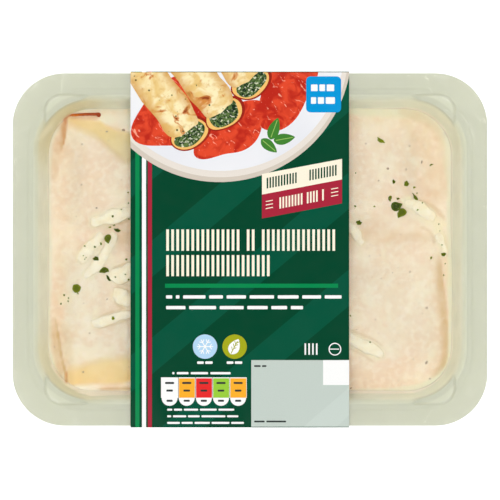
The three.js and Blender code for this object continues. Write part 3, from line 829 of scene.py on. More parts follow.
def mark_tray(piece, points, inside, depth, pressed):
    """Where the tray is paler, painted light against the wall's shade, or tan, painted shade at the corners;
    and the food's smear, tan lines and stains on it.
    """
    x, y, z = points.T
    # Paler down the wall, and a little in the flange's corner recesses: painted light that offsets the shade
    # there.
    paler = inside * smoothstep(depth, 0, 0.06) * (0.22 + 0.72 * smoothstep(depth, -0.3, 2.4))
    mark(piece, "wall", paler + 0.15 * pressed)
    past = np.minimum(np.abs(x) - MOUTH[0], np.abs(y) - MOUTH[1]) + tray.mouth_radius
    left_side = (0.15 + 0.85 * smoothstep(-x, 20, 50)) * (0.5 + 0.5 * smoothstep(y, -20, 20))
    # Tan towards the corners, strongest at the upper left: painted shade.
    mark(piece, "corner", inside * smoothstep(past, -12, 6) * left_side)
    run_up = 0.5 + 0.8 * waves(x, y, 14, 17)
    for place_x, place_y, reach, height in splashes:
        run_up = run_up + height * np.exp(-((x - place_x) ** 2 + (y - place_y) ** 2) / reach**2)
    # Sauce smeared up the wall; it is painted brighter to offset the wall's shade.
    mark(piece, "smear", inside * smoothstep(bechamel.level + run_up - z, -0.5, 0.8))
    near_food = inside * smoothstep(bechamel.level + 4.0 - z, 0, 3.5)
    # Tan lines on the wall near the food: partly painted shade where the wall meets the food.
    mark(piece, "crease", near_food * marks_of(x, y, creases_and_shade))
    mark(piece, "stain", near_food * marks_of(x, y, stains))


# ---------------------------------------------------------------- the food

def crown_height(roll, x):
    """The top line of a roll, a little wavy."""
    return roll.crown + 0.5 * np.sin(x / 17 + roll.y) + 0.3 * np.sin(x / 7.3 + 2)


def roll_section(roll, x, grown=0.0):
    """Half width, middle height and half height of a roll at x."""
    share = superellipse(np.clip((x - roll.x) / (roll.half_x + grown), -1, 1), roll_shape.plan_power)
    crown = roll.crown + (crown_height(roll, x) - roll.crown) * share + grown
    taper = roll_shape.end_height + (1 - roll_shape.end_height) * share
    half_height = (crown - roll_shape.foot) / 2 * taper
    return (roll.half_y + grown) * share, (crown + roll_shape.foot) / 2, half_height


def over_roll(roll, x, y, grown):
    """The height of a roll's grown surface over a place, or 0 beside it."""
    half_width, middle, half_height = roll_section(roll, x, grown)
    across = np.clip((y - roll.y) / np.maximum(half_width, 1e-6), -1, 1)
    beside = (np.abs(across) >= 1) | (np.abs(x - roll.x) >= roll.half_x + grown)
    return np.where(beside, 0, middle + half_height * superellipse(across, roll_shape.section_power))


def drape(roll, x, y):
    """The sauce over a roll: a low pillow that is steepest at its border and goes on down beside it."""
    half = roll.half_x + bechamel.drape, roll.half_y + bechamel.drape
    inward = -rounded_distance(x - roll.x, y - roll.y, *half, bechamel.corner) / bechamel.shoulder
    profile = np.where(inward > 0, 1 - (1 - np.clip(inward, 0, 1)) ** 2, 2 * inward)
    return bechamel.level + (crown_height(roll, x) + bechamel.cover - bechamel.level) * profile


def near_path(x, y, path, start, end, fade):
    """1 on a path, fading away from it, more slowly on its left. It narrows and fades to both its ends."""
    path = softened(np.array(path) * DEEPER, 2)
    pieces = np.diff(path, axis=0)
    lengths = np.linalg.norm(pieces, axis=1)
    travelled = np.concatenate([[0], np.cumsum(lengths)])
    total = np.zeros(np.shape(x))
    for i, (piece, length) in enumerate(zip(pieces, lengths)):
        t = np.clip(((x - path[i, 0]) * piece[0] + (y - path[i, 1]) * piece[1]) / length**2, 0, 1)
        away_x, away_y = x - path[i, 0] - t * piece[0], y - path[i, 1] - t * piece[1]
        share = (travelled[i] + t * length) / travelled[-1]
        reach = (start + (end - start) * share) * superellipse(2 * share - 1, 3) + 1e-3
        reach = reach * np.where(piece[0] * away_y > piece[1] * away_x, fade, 1)
        here = 1 - smoothstep(np.hypot(away_x, away_y) / reach, 0.35, 1.9)
        total = np.maximum(total, here * smoothstep(1 - np.abs(2 * share - 1), -0.15, 0.3))
    return total


def marks_of(x, y, marks):
    """How strong the strongest of some marks is at a place."""
    return np.max([strength * near_path(x, y, *shape) for *shape, strength in marks], axis=0)


def melted(x, y):
    """How much melted cheese there is: where it has run, and a soft border about each strip."""
    total = marks_of(x, y, melts)
    for middle_x, middle_y, length, width, degrees, bow in shreds:
        turn = math.radians(degrees)
        u = (x - DEEPER * middle_x) * math.cos(turn) + (y - DEEPER * middle_y) * math.sin(turn)
        v = (y - DEEPER * middle_y) * math.cos(turn) - (x - DEEPER * middle_x) * math.sin(turn)
        v = v - bow * np.maximum(1 - (2 * u / length) ** 2, 0)
        away = np.hypot(np.maximum(np.abs(u) - (length - width) / 2, 0), v) / (HALO * width)
        total = np.maximum(total, 0.75 * (1 - smoothstep(away, 0.4, 1.15)))
    return total


def smoothed(field, x, y, reach):
    """The mean of a field over a disc about a place."""
    total, count = field(x, y), 1
    for ring in (1, 2, 3):
        for turn in np.arange(6 * ring) * math.pi / 3 / ring:
            away = reach * ring / 3
            total = total + field(x + away * math.cos(turn), y + away * math.sin(turn))
            count += 1
    return total / count


def swelling(x, y):
    """The pool with the rolls swelling up through it."""
    heights = [np.full(np.shape(x), bechamel.level)] + [drape(roll, x, y) for roll in rolls.values()]
    return bechamel.blend * np.log(sum(np.exp(h / bechamel.blend) for h in heights))


def bareness(x, y):
    """How bare the pasta is, from 0 under bechamel to 1."""
    total = np.zeros(np.shape(x))
    shaky = y + 0.5 * waves(x, y, 6, 3)
    for band in bare_bands:
        high = np.interp(x / DEEPER, *np.array(band.high).T) * DEEPER
        low = np.interp(x / DEEPER, *np.array(band.low).T) * DEEPER
        start, end = band.high[0][0] * DEEPER, band.high[-1][0] * DEEPER
        here = smoothstep(high - shaky, -band.soft_high, band.soft_high)
        here = here * smoothstep(shaky - low, -band.soft_low, band.soft_low)
        here = here * smoothstep(x, start - 0.5, start + 1.2) * smoothstep(-x, -end, 10 - end)
        total = np.maximum(total, here)
    return total


def bechamel_top(x, y):
    """The top of the sauce: lumpy with what is under it and melted on it, and creeping up the wall."""
    broad = bechamel.ripple * (np.sin(x / 9 + y / 13) + np.sin(y / 7.5 - x / 21 + 1.3))
    lumps = 0.22 * waves(x, y, 11, 5) + 0.1 * waves(x, y, 4.5, 8)
    edge = rounded_distance(x, y, *food_edge(bechamel.level))
    climb = bechamel.climb * np.exp(np.minimum(edge, 0) / bechamel.climb_reach)
    relief = smoothed(swelling, x, y, 3.2) + broad + lumps + climb
    return relief + bechamel.melt_rise * melted(x, y) - bechamel.bare_drop * bareness(x, y)


def bechamel_under(x, y, top):
    """The blanket's underside: flat in the pool, and over a roll lying on it."""
    lying = np.max([over_roll(roll, x, y, bechamel.over_pasta) for roll in rolls.values()], axis=0)
    z = np.minimum(np.maximum(lying, bechamel.base), top - bechamel.thinnest)
    high, low = food_edge(top), food_edge(bechamel.base)
    drawn_in = 0.998
    return np.stack([x * low[0] / high[0] * drawn_in, y * low[1] / high[1] * drawn_in, z], axis=1)


def mark_food(piece, x, y):
    """Where the food is bare, stained, tan-lined with partly painted shade, puddled, under melted cheese, or
    at its rim coloured like the wall and paler as painted light against the wall's shade.
    """
    edge = rounded_distance(x, y, *food_edge(bechamel.level))
    mark(piece, "bare", bareness(x, y))
    mark(piece, "stain", marks_of(x, y, stains))
    # Tan lines: partly thin sauce, partly painted shade in the valleys between the rolls and at the wall.
    mark(piece, "crease", marks_of(x, y, creases_and_shade))
    mark(piece, "puddle", marks_of(x, y, puddles))
    mark(piece, "melt", melted(x, y))
    bare_side = np.maximum(smoothstep(x, 50, 72), smoothstep(y, 40, 52) * smoothstep(x, 0, 40))
    bare_side = np.maximum(bare_side, 0.4 * smoothstep(-x, 60, 74))
    wide = 1.0 + 1.4 * bare_side + 2.4 * smoothstep(x * y, 1800, 3000) * (x > 0)
    ragged = edge + 0.6 * waves(x, y, 12, 21)
    # The rim band is coloured like the wall and painted paler to offset the wall's shade on the food's edge.
    mark(piece, "rim", (0.55 + 0.45 * bare_side) * smoothstep(ragged, -wide, -0.35 * wide))


def make_bechamel():
    """The white sauce as one closed blanket over both rolls."""
    points, faces, x, y = sheet(bechamel.step, bechamel_top, bechamel_under, food_edge)
    piece = mesh_piece("bechamel_blanket", points, faces, [bechamel_finish()], STAND, sharp=50)
    mark_food(piece, x, y)
    joins_pack(piece, "white_sauce", "bechamel")


def make_roll(name, roll):
    """A soft filled pasta roll, lofted through its sections and pressed into the tray."""
    stations, sides = roll_shape.stations, roll_shape.sides
    turn = np.linspace(0, 2 * math.pi, sides, endpoint=False)
    power = 2 / roll_shape.section_power
    across = np.sign(np.cos(turn)) * np.abs(np.cos(turn)) ** power
    up = np.sign(np.sin(turn)) * np.abs(np.sin(turn)) ** power
    rings = []
    for i in range(stations + 1):
        x = np.full(sides, roll.x - math.cos(math.pi * (i + 0.25) / (stations + 0.5)) * roll.half_x)
        half_width, middle, half_height = roll_section(roll, x)
        y = roll.y + half_width * across
        wrinkles = roll_shape.wrinkle * waves(x, y, 5, 31) * np.clip(np.sin(turn), 0, 1)
        z = middle + half_height * up + wrinkles
        z = np.clip(z, tray.wall + roll_shape.gap, bechamel_top(x, y) - roll_shape.under_sauce)
        size = food_edge(z, roll_shape.gap)
        outside = rounded_distance(x, y, *size) > 0
        moved = onto_rounded(x, y, *size)
        rings.append(np.column_stack([np.where(outside, moved[0], x), np.where(outside, moved[1], y), z]))
    points, faces = loft(rings)
    piece = mesh_piece(name + "_pasta", points, faces, [pasta_finish()], STAND)
    mark_food(piece, points[:, 0], points[:, 1])
    joins_pack(piece, "pasta", name)


# ---------------------------------------------------------------- what lies on the food

def node_tree(name, inputs):
    """An empty Geometry Nodes tree with a mesh in and out, and named inputs."""
    tree = bpy.data.node_groups.new(name, "GeometryNodeTree")
    tree.interface.new_socket("Geometry", in_out="INPUT", socket_type="NodeSocketGeometry")
    for label, kind in inputs:
        tree.interface.new_socket(label, in_out="INPUT", socket_type=kind)
    tree.interface.new_socket("Geometry", in_out="OUTPUT", socket_type="NodeSocketGeometry")
    return tree, tree.nodes.new("NodeGroupInput"), tree.nodes.new("NodeGroupOutput")


def add(tree, kind, inputs=(), **settings):
    """A new node, with its inputs set or linked."""
    node = tree.nodes.new(kind)
    for key, value in settings.items():
        setattr(node, key, value)
    for key, value in dict(inputs).items():
        if isinstance(value, bpy.types.NodeSocket):
            tree.links.new(value, node.inputs[key])
        else:
            node.inputs[key].default_value = value
    return node


def attribute(tree, name, kind="FLOAT"):
    """A named attribute, read from each point."""
    return add(tree, "GeometryNodeInputNamedAttribute", {"Name": name}, data_type=kind).outputs["Attribute"]


def finish_tree(tree, geometry, start, end):
    """Ends a tree: what it grew is made real and gets its finish."""
    real = add(tree, "GeometryNodeRealizeInstances", {"Geometry": geometry.outputs[0]})
    done = add(tree, "GeometryNodeSetMaterial", {
        "Geometry": real.outputs[0], "Material": start.outputs["Finish"]})
    tree.links.new(done.outputs[0], end.inputs[0])
    return tree


def grown_by_nodes(seeds, tree, values):
    """Runs a tree on bare points and returns the result as a plain mesh piece; the bare points go."""
    modifier = seeds.modifiers.new("nodes", "NODES")
    modifier.node_group = tree
    sockets = {s.name: s.identifier for s in tree.interface.items_tree if s.in_out == "INPUT"}
    for label, value in values.items():
        modifier[sockets[label]] = value
    evaluated = seeds.evaluated_get(bpy.context.evaluated_depsgraph_get())
    mesh = bpy.data.meshes.new_from_object(evaluated)
    name = seeds.name
    bpy.data.objects.remove(seeds)
    mesh.name = name
    return in_scene(name, mesh)


def path_tree():
    """Soft strips along paths: each path's points carry a girth, and the strip is flattened and uneven."""
    tree, start, end = node_tree("soft strips", [
        ("Flatness", "NodeSocketFloat"), ("Sides", "NodeSocketInt"), ("Unevenness", "NodeSocketFloat"),
        ("Lump Size", "NodeSocketFloat"), ("Finish", "NodeSocketMaterial")])
    curve = add(tree, "GeometryNodeMeshToCurve", {"Mesh": start.outputs["Geometry"]})
    upright = add(tree, "GeometryNodeSetCurveNormal", {"Curve": curve.outputs[0]}, mode="Z_UP")
    circle = add(tree, "GeometryNodeCurvePrimitiveCircle", {
        "Resolution": start.outputs["Sides"], "Radius": 0.5})
    squeeze = add(tree, "ShaderNodeCombineXYZ", {"X": 1.0, "Y": start.outputs["Flatness"], "Z": 1.0})
    section = add(tree, "GeometryNodeTransform", {"Geometry": circle.outputs[0], "Scale": squeeze.outputs[0]})
    tube = add(tree, "GeometryNodeCurveToMesh", {
        "Curve": upright.outputs[0], "Profile Curve": section.outputs[0], "Scale": attribute(tree, "girth"),
        "Fill Caps": True})
    scale = add(tree, "ShaderNodeMath", {0: 1.0, 1: start.outputs["Lump Size"]}, operation="DIVIDE")
    noise = add(tree, "ShaderNodeTexNoise", {"Scale": scale.outputs[0], "Detail": 2.0})
    centred = add(tree, "ShaderNodeVectorMath", {0: noise.outputs["Color"], 1: (0.5, 0.5, 0.5)},
                  operation="SUBTRACT")
    shift = add(tree, "ShaderNodeVectorMath", {
        0: centred.outputs[0], "Scale": start.outputs["Unevenness"]}, operation="SCALE")
    uneven = add(tree, "GeometryNodeSetPosition", {"Geometry": tube.outputs[0], "Offset": shift.outputs[0]})
    smooth = add(tree, "GeometryNodeSetShadeSmooth", {"Geometry": uneven.outputs[0]})
    return finish_tree(tree, smooth, start, end)


def path_seeds(name, paths):
    """Polylines, each with a girth for every point, as one piece for the tree of strips to grow on."""
    points, edges, girths = [], [], []
    for path, girth in paths:
        first = len(points)
        points += list(path)
        girths += list(girth)
        edges += [(first + i, first + i + 1) for i in range(len(path) - 1)]
    seeds = seed_points(name, points, edges)
    mark(seeds, "girth", np.array(girths) * MM)
    return seeds


def strip_values(shape, finish):
    """The tree of strips' inputs for a shape and a finish."""
    return {"Flatness": shape.flatness, "Sides": shape.sides, "Unevenness": shape.unevenness * MM,
            "Lump Size": shape.lump_size * MM, "Finish": finish}


def shred_path(x, y, length, width, degrees, bow):
    """A strip of cheese: its path over the food, and its girth along that."""
    draw = np.random.RandomState(int(abs(x * 31 + y * 17)))
    t = -np.cos(np.pi * (np.arange(shred_shape.stations) + 0.3) / (shred_shape.stations - 0.4))
    aside = bow * (1 - t * t) + 0.25 * np.sin(t * 4 + draw.uniform(0, 6))
    px, py = turned(t * length / 2, aside, DEEPER * x, DEEPER * y, math.radians(degrees))
    reach = shred_shape.stiffness
    under = np.pad(bechamel_top(px, py), reach, "edge")
    pz = np.convolve(under, np.hanning(2 * reach + 3)[1:-1] / (reach + 1), "valid") + shred_shape.lift
    taper = superellipse(t, shred_shape.bluntness) ** 0.8
    girth = width * taper * (1 + 0.09 * np.sin(t * 5 + draw.uniform(0, 6)) + draw.uniform(-0.1, 0.1) * t)
    return np.column_stack([px, py, pz]), girth


def make_cheese(tree):
    """All the strips of grated cheese, as one piece."""
    seeds = path_seeds("grated_cheese", [shred_path(*shred) for shred in shreds])
    piece = grown_by_nodes(seeds, tree, strip_values(shred_shape, cheese_finish()))
    joins_pack(piece, "cheese", *[f"cheese_shred_{i + 1:02d}" for i in range(len(shreds))])


def make_tomato_line(tree):
    """The dark line of tomato, drawn out thin at its ends."""
    path = softened(np.array(tomato_line.path) * DEEPER, 2)
    t = np.linspace(0, 1, tomato_line.stations)
    share = np.linspace(0, 1, len(path))
    px, py = np.interp(t, share, path[:, 0]), np.interp(t, share, path[:, 1])
    girth = tomato_line.width * (0.7 + 0.4 * t) * superellipse(2 * t - 1, 9)
    line = np.column_stack([px, py, bechamel_top(px, py) + 0.02])
    seeds = path_seeds("tomato_edge", [(line, np.maximum(girth, tomato_line.thinnest))])
    finish = tomato_finish("dark tomato", (156, 58, 4), (222, 120, 16))
    piece = grown_by_nodes(seeds, tree, strip_values(tomato_line, finish))
    joins_pack(piece, "tomato")


SCRAP_KINDS = ["round", "wing", "bean", "splinter", "lobed", "crumb"]


def leaf_outline(kind, turn):
    """The outline of a scrap of parsley, one unit long and one wide, with +Y away from its stalk."""
    across, up = np.cos(turn), np.sin(turn)
    reach = 1 + 0.05 * np.sin(6 * turn) + 0.04 * np.sin(3 * turn + 1)
    if kind == "wing":
        reach = 1 - 0.45 * np.maximum(-up, 0) + 0.45 * np.exp(-(((turn - 3.55) / 0.25) ** 2))
    elif kind == "lobed":
        reach = 0.9 + 0.1 * np.sin(3 * turn + 0.6) + 0.08 * np.sin(5 * turn + 2)
    elif kind == "crumb":
        reach = 1 + 0.2 * np.sin(2 * turn + 1) + 0.15 * np.sin(3 * turn)
    x, y = across * reach, up * reach
    if kind == "bean":
        y = 0.5 * y - 0.7 * x**2
    elif kind == "splinter":
        y = y * (1 + 0.6 * across)
    return (x - (x.max() + x.min()) / 2) / np.ptp(x), (y - (y.max() + y.min()) / 2) / np.ptp(y)


def leaf_scrap(index):
    """A torn and curled scrap of parsley, and its edge mark. A round leaf has a bit of its stalk."""
    kind = SCRAP_KINDS[index]
    turn = np.linspace(0, 2 * math.pi, 8 if kind == "crumb" else 28, endpoint=False)
    x, y = leaf_outline(kind, turn)
    rings = []
    for share, lift in [(0.55, -0.05), (1.0, -0.03), (1.0, 0.03), (0.55, 0.05)]:
        px, py = x * share, y * share
        curl = 0.45 * (px * math.cos(index) + py * math.sin(index)) ** 2
        ruffle = 0.1 * share * np.sin(2 * turn + index)
        rings.append(np.column_stack([px, py, curl + ruffle + lift]))
    points, faces = loft(rings)
    edge = [0.2] * len(turn) + [1.0] * (2 * len(turn)) + [0.2] * len(turn) + [0.0, 0.0]
    if kind == "round":
        points[:, :2] = points[:, :2] * [1.0, 0.86] + [0, 0.07]
        width, thickness = 0.15, 0.1
        stalk = [np.array([(u, along, v) for u, v in rect(left, left + width, low, low + thickness)])
                 for left, along, low in [(0.1, -0.5, 0.06), (0.0, -0.3, 0.03)]]
        more, more_faces = loft(stalk)
        faces += [tuple(i + len(points) for i in face) for face in more_faces]
        points = np.concatenate([points, more])
        edge += [0.8] * len(more)
    return points, faces, edge


def grain_scrap(index):
    """A crumb of pepper, one unit across, and its edge mark."""
    draw = np.random.RandomState(70 + index)
    sides = 7
    turn = np.linspace(0, 2 * math.pi, sides, endpoint=False)
    rings = []
    for z, radius in [(-0.3, 0.25), (0.0, 0.5), (0.22, 0.34)]:
        reach = radius * (1 + draw.uniform(-0.22, 0.22, sides))
        rings.append(np.column_stack([reach * np.cos(turn), reach * np.sin(turn), np.full(sides, z)]))
    points, faces = loft(rings)
    return points, faces, np.zeros(len(points))


def strewn_tree():
    """Scraps from a collection on the points of a piece, each turned and scaled by its own attributes."""
    tree, start, end = node_tree("strewn scraps", [
        ("Scraps", "NodeSocketCollection"), ("Finish", "NodeSocketMaterial")])
    scraps = add(tree, "GeometryNodeCollectionInfo", {
        "Collection": start.outputs["Scraps"], "Separate Children": True, "Reset Children": True})
    turn = add(tree, "FunctionNodeEulerToRotation", {0: attribute(tree, "turn", "FLOAT_VECTOR")})
    placed = add(tree, "GeometryNodeInstanceOnPoints", {
        "Points": start.outputs["Geometry"], "Instance": scraps.outputs[0], "Pick Instance": True,
        "Instance Index": attribute(tree, "kind", "INT"), "Rotation": turn.outputs[0],
        "Scale": attribute(tree, "size", "FLOAT_VECTOR")})
    return finish_tree(tree, placed, start, end)


def strew(name, tree, maker, places, finish, seed):
    """Scatters all kinds of scrap at places, each (x, y, z, length, width, thickness, kind, turn, tone)."""
    collection = bpy.data.collections.new(name + "_scraps")
    bpy.context.scene.collection.children.link(collection)
    scraps = []
    for index in range(len(SCRAP_KINDS)):
        points, faces, edge = maker(index)
        scrap = mesh_piece(f"{name}_scrap_{index}", points / MM, faces, [])
        mark(scrap, "edge", edge)
        bpy.context.scene.collection.objects.unlink(scrap)
        collection.objects.link(scrap)
        scraps.append(scrap)
    places = np.array(places)
    seeds = seed_points(name, places[:, :3])
    lean = np.random.RandomState(seed).uniform(-0.15, 0.15, (len(places), 2))
    mark(seeds, "turn", np.column_stack([lean, np.radians(places[:, 7])]), "FLOAT_VECTOR")
    mark(seeds, "size", places[:, 3:6] * MM, "FLOAT_VECTOR")
    mark(seeds, "kind", places[:, 6], "INT")
    mark(seeds, "tone", places[:, 8])
    piece = grown_by_nodes(seeds, tree, {"Scraps": collection, "Finish": finish})
    for scrap in scraps:
        bpy.data.objects.remove(scrap)
    bpy.data.collections.remove(collection)
    joins_pack(piece, "white_sauce", "bechamel")


def resting_height(x, y):
    """The top of the food at a place, on the grated cheese where that lies there."""
    top = bechamel_top(x, y)
    for shred in shreds[:SHREDS_SHOWN]:
        path, girth = shred_path(*shred)
        away = np.hypot(path[:, 0] - x, path[:, 1] - y)
        k = int(np.argmin(away))
        if away[k] < girth[k] / 2:
            dome = math.sqrt(1 - (2 * away[k] / girth[k]) ** 2)
            lump = 0.15 * shred_shape.unevenness  # what the strip's own lumps may add
            top = max(top, path[k, 2] + girth[k] / 2 * shred_shape.flatness * dome + lump)
    return top


def make_parsley(tree):
    """The chopped parsley, lying on the sauce and the cheese."""
    draw = np.random.RandomState(12)
    places = []
    for x, y, length, width, kind, turn, tone in leaves:
        x, y = x * DEEPER, y * DEEPER
        z = float(resting_height(x, y)) + 0.05 * length
        places.append((x, y, z, length, width, 0.35 * length + 0.4, SCRAP_KINDS.index(kind), turn, tone))
    for x, y, size in leaf_crumbs:
        x, y = x * DEEPER, y * DEEPER
        kind = SCRAP_KINDS.index(["crumb", "lobed", "splinter"][draw.randint(3)])
        z = float(resting_height(x, y)) + 0.03
        places.append((x, y, z, size, size * draw.uniform(0.6, 0.95), 0.7 * size, kind, draw.uniform(0, 360),
                       draw.uniform(0.5, 1.0)))
    strew("parsley_leaves", tree, leaf_scrap, places, parsley_finish(), 5)


def make_specks(tree):
    """Specks of pepper and herb in the surface of the sauce."""
    draw = np.random.RandomState(23)
    sown = [(x * DEEPER, y * DEEPER, along, across, depth) for x, y, along, across, depth in specks]
    for _ in range(SPARE_SPECKS):
        size = draw.uniform(0.25, 0.65)
        sown.append((draw.uniform(-76, 76), draw.uniform(-52, 52), size, size * 0.8, draw.uniform(0.4, 0.9)))
    sunk, thickness = 0.03, 0.28
    places = []
    for number, (x, y, along, across, depth) in enumerate(sown):
        z = float(bechamel_top(x, y)) - sunk
        places.append((x, y, z, along, across, thickness, number % len(SCRAP_KINDS), 0, depth))
    strew("pepper_specks", tree, grain_scrap, places, speck_finish(), 9)


# ---------------------------------------------------------------- the film

def make_film():
    """The clear film: taut, with faint waves, and pulled into fine folds at the corners."""
    low, high = box_mm("film")
    level = (low[2] + high[2]) / 2

    def top(x, y):
        inside = smoothstep(-rounded_distance(x, y, *MOUTH, tray.mouth_radius), 0, 6)
        corner = smoothstep(np.abs(x) * np.abs(y), 1800, 4200)
        pull = np.sin((np.abs(x) * 0.55 + np.abs(y) * 0.85) * 1.1 + np.sin(x / 9))
        return level + film.wave * inside * (waves(x, y, 34, 61) + 0.15 * corner * pull)

    def under(x, y, z):
        return np.stack([x, y, z - film.thickness], axis=1)

    def edge(z):
        return high[0] + 0 * z, high[1] + 0 * z, film.corner_radius + 0 * z

    points, faces, _, _ = sheet(film.step, top, under, edge)
    piece = mesh_piece("sealed_film", points, faces, [film_finish()], sharp=50)
    joins_pack(piece, "film", "film")


# ---------------------------------------------------------------- the sleeve's print

LEFT, RIGHT = sleeve_low[0], sleeve_high[0]
PRINT_END = sleeve_high[1] - 0.3  # where the top's picture stops, at the upper crease
PAST_ENDS = 200.0  # past the ends of the flat blank, so that what runs right round is cut there

inks = {
    "green": (2, 67, 43),
    "light green": (4, 81, 58),
    "bright green": (6, 134, 75),
    "white": (245, 245, 243),
    "crimson": (166, 38, 58),
    "cream": (247, 238, 216),
    "blue": (4, 148, 212),
    "pale blue": (176, 211, 236),
    "olive": (162, 166, 28),
    "field": (192, 203, 195),
    "field band": (197, 208, 200),
    "amber": (246, 172, 46),
    "red": (226, 44, 44),
    "deep red": (150, 34, 22),
    "lime": (150, 200, 60),
    "black": (52, 58, 56),
    "plate rim": (209, 198, 184),
    "plate edge": (228, 220, 210),
    "leaf": (64, 128, 48),
    "leaf rib": (150, 190, 96),
    "pasta edge": (240, 190, 108),
}


def climbing(x0, x1, y0, y1, slope, foot):
    """A rectangle that climbs to the right, and stands at its own height where x is the foot."""
    return [(x, y + slope * (x - foot)) for x, y in rect(x0, x1, y0, y1)]


def disc(x, y, radius_x, radius_y=None, turn=0.0, count=40, wobble=0.0, seed=0):
    """An ellipse, or with some wobble an uneven blob."""
    radius_y = radius_y or radius_x
    phases = np.random.RandomState(seed).uniform(0, 6, 3)
    points = []
    for angle in 2 * math.pi * np.arange(count) / count:
        reach = 1 + wobble * sum(math.sin((n + 2) * angle + phase) for n, phase in enumerate(phases))
        u, v = radius_x * reach * math.cos(angle), radius_y * reach * math.sin(angle)
        points.append(turned(u, v, x, y, turn))
    return points


def pill(x0, x1, y0, y1, radius):
    """A rectangle with rounded corners."""
    radius = min(radius, (x1 - x0) / 2 - 1e-3, (y1 - y0) / 2 - 1e-3)
    ring = rounded_ring((x1 - x0) / 2, (y1 - y0) / 2, radius, 4, 1)
    return [((x0 + x1) / 2 + x, (y0 + y1) / 2 + y) for x, y in ring]


def clipped(polygon, axis, limit, keep_below):
    """A polygon cut off at a straight line."""
    side = (lambda p: limit - p[axis]) if keep_below else (lambda p: p[axis] - limit)
    result = []
    for a, b in zip(polygon, polygon[1:] + polygon[:1]):
        da, db = side(a), side(b)
        if da >= 0:
            result.append(a)
        if da * db < 0:
            t = da / (da - db)
            result.append((a[0] + (b[0] - a[0]) * t, a[1] + (b[1] - a[1]) * t))
    return result


def strokes(x0, x1, y0, y1, pitch, width, gaps=(), slope=0.0):
    """A row of upright strokes, with spaces at the given stroke numbers; it may climb to the right."""
    lefts = [x0 + (i + 0.5) * pitch - width / 2 for i in range(int((x1 - x0) / pitch)) if i not in gaps]
    return [climbing(left, left + width, y0, y1, slope, x0) for left in lefts]


def dashes(x0, y0, y1, lengths, gap):
    """A line of short bars of uneven length."""
    row, x = [], x0
    for length in lengths:
        row.append(pill(x, x + length, y0, y1, 0.3))
        x += length + gap
    return row


def snowflake(x, y, size):
    """Six forked arms, each of three straight pieces."""
    arm = [[(0, -0.06), (1, -0.06), (1, 0.06), (0, 0.06)],
           [(0.5, 0), (0.62, 0), (0.9, 0.3), (0.78, 0.34)],
           [(0.78, -0.34), (0.9, -0.3), (0.62, 0), (0.5, 0)]]
    return [[turned(size * u, size * v, x, y, math.pi / 3 * k) for u, v in piece]
            for k in range(6) for piece in arm]


def leaf_shape(x, y, length, width, degrees):
    """A pointed oval leaf."""
    turn = math.radians(degrees)
    points = []
    for t in np.linspace(0, 2 * math.pi, 24, endpoint=False):
        swell = (1 - 0.35 * math.cos(t)) * abs(math.sin(t)) ** 0.4
        points.append(turned(length / 2 * math.cos(t), width / 2 * math.sin(t) * swell, x, y, turn))
    return points


def bar(x, y, length, width, degrees):
    """A turned rectangle about its middle."""
    turn = math.radians(degrees)
    return [turned(u, v, x, y, turn) for u, v in rect(-length / 2, length / 2, -width / 2, width / 2)]


def inked(key, outlines):
    """Fields of print in one ink."""
    return [(key, outline) for outline in outlines]


# The serving picture on the sleeve: how its rolls lie, and the plate, pools of sauce and leaves about them.
picture = Sizes(
    lean=math.radians(-54),
    pitch=15.6,  # from roll to roll
    first=(-24.5, 46.5),  # the cut end of the first roll
    staggers=[0.0, 1.6, -2.0],
    length=40.0,
    half_width=7.4,
    plate=(-12.0, 78.5),
    plate_radius=52.0,
    pools=[(-27, 54, 20, 13, 0.5, 0.05, 3), (-7, 47, 15, 9, 0.6, 0.07, 5), (14, 61, 16, 9, 0.9, 0.06, 9)],
    leaves=[(9.5, 47.5, 9, 4.4, 70), (13.5, 43.5, 8.5, 4.2, 10), (7.5, 40.8, 8, 4, -40)],
)


def uneven_slab(half_length, half_width, seed):
    """The outline of a roll seen from above, a little uneven."""
    shift = np.random.RandomState(80 + seed).uniform(0, 6, 2)
    points = []
    for angle in np.linspace(0, 2 * math.pi, 72, endpoint=False):
        u = half_length * np.sign(math.cos(angle)) * abs(math.cos(angle)) ** 0.35
        v = half_width * np.sign(math.sin(angle)) * abs(math.sin(angle)) ** 0.35
        points.append((u + 0.35 * math.sin(v * 0.9 + shift[0]), v + 0.45 * math.sin(u * 0.42 + shift[1])))
    return points


def picture_roll(number):
    """One roll of the picture: its shadow, its cut end with the filling, and its browned back."""
    lean, across = picture.lean, picture.lean + math.pi / 2
    end = turned(picture.staggers[number], picture.pitch * number, *picture.first, lean)
    middle = turned(-picture.length / 2, 0, *end, lean)
    back = uneven_slab(picture.length / 2, picture.half_width, number)
    return [
        ("deep red", disc(end[0] + 1.1, end[1] - 0.9, 8.6, 6.0, across, wobble=0.02, seed=number)),
        ("pasta edge", disc(*turned(1.3, 0, *end, lean), 7.7, 5.4, across, wobble=0.02, seed=number)),
        ("filling", disc(*turned(1.4, 0, *end, lean), 6.6, 4.3, across, wobble=0.04, seed=number + 7)),
        ("bake", [turned(u, v, *middle, lean) for u, v in back]),
    ]


def picture_fields():
    """A plain serving picture of its own: three browned rolls on a white plate, with sauce and leaves."""
    x, y = picture.plate
    fields = [
        ("plate rim", disc(x, y, picture.plate_radius, count=110)),
        ("plate edge", disc(x + 0.3, y + 0.5, picture.plate_radius - 1.4, count=110)),
        ("plate", disc(x + 0.4, y + 1.2, picture.plate_radius - 3.2, count=110)),
    ]
    for *ellipse, wobble, seed in picture.pools:
        fields.append(("picture sauce", disc(*ellipse, 60, wobble, seed)))
    for number in range(len(picture.staggers)):
        fields += picture_roll(number)
    for x, y, length, width, degrees in picture.leaves:
        fields.append(("leaf", leaf_shape(x, y, length, width, degrees)))
        fields.append(("leaf rib", bar(x, y, length * 0.8, 0.3, degrees)))
    return [(key, clipped(outline, 1, PRINT_END, True)) for key, outline in fields]


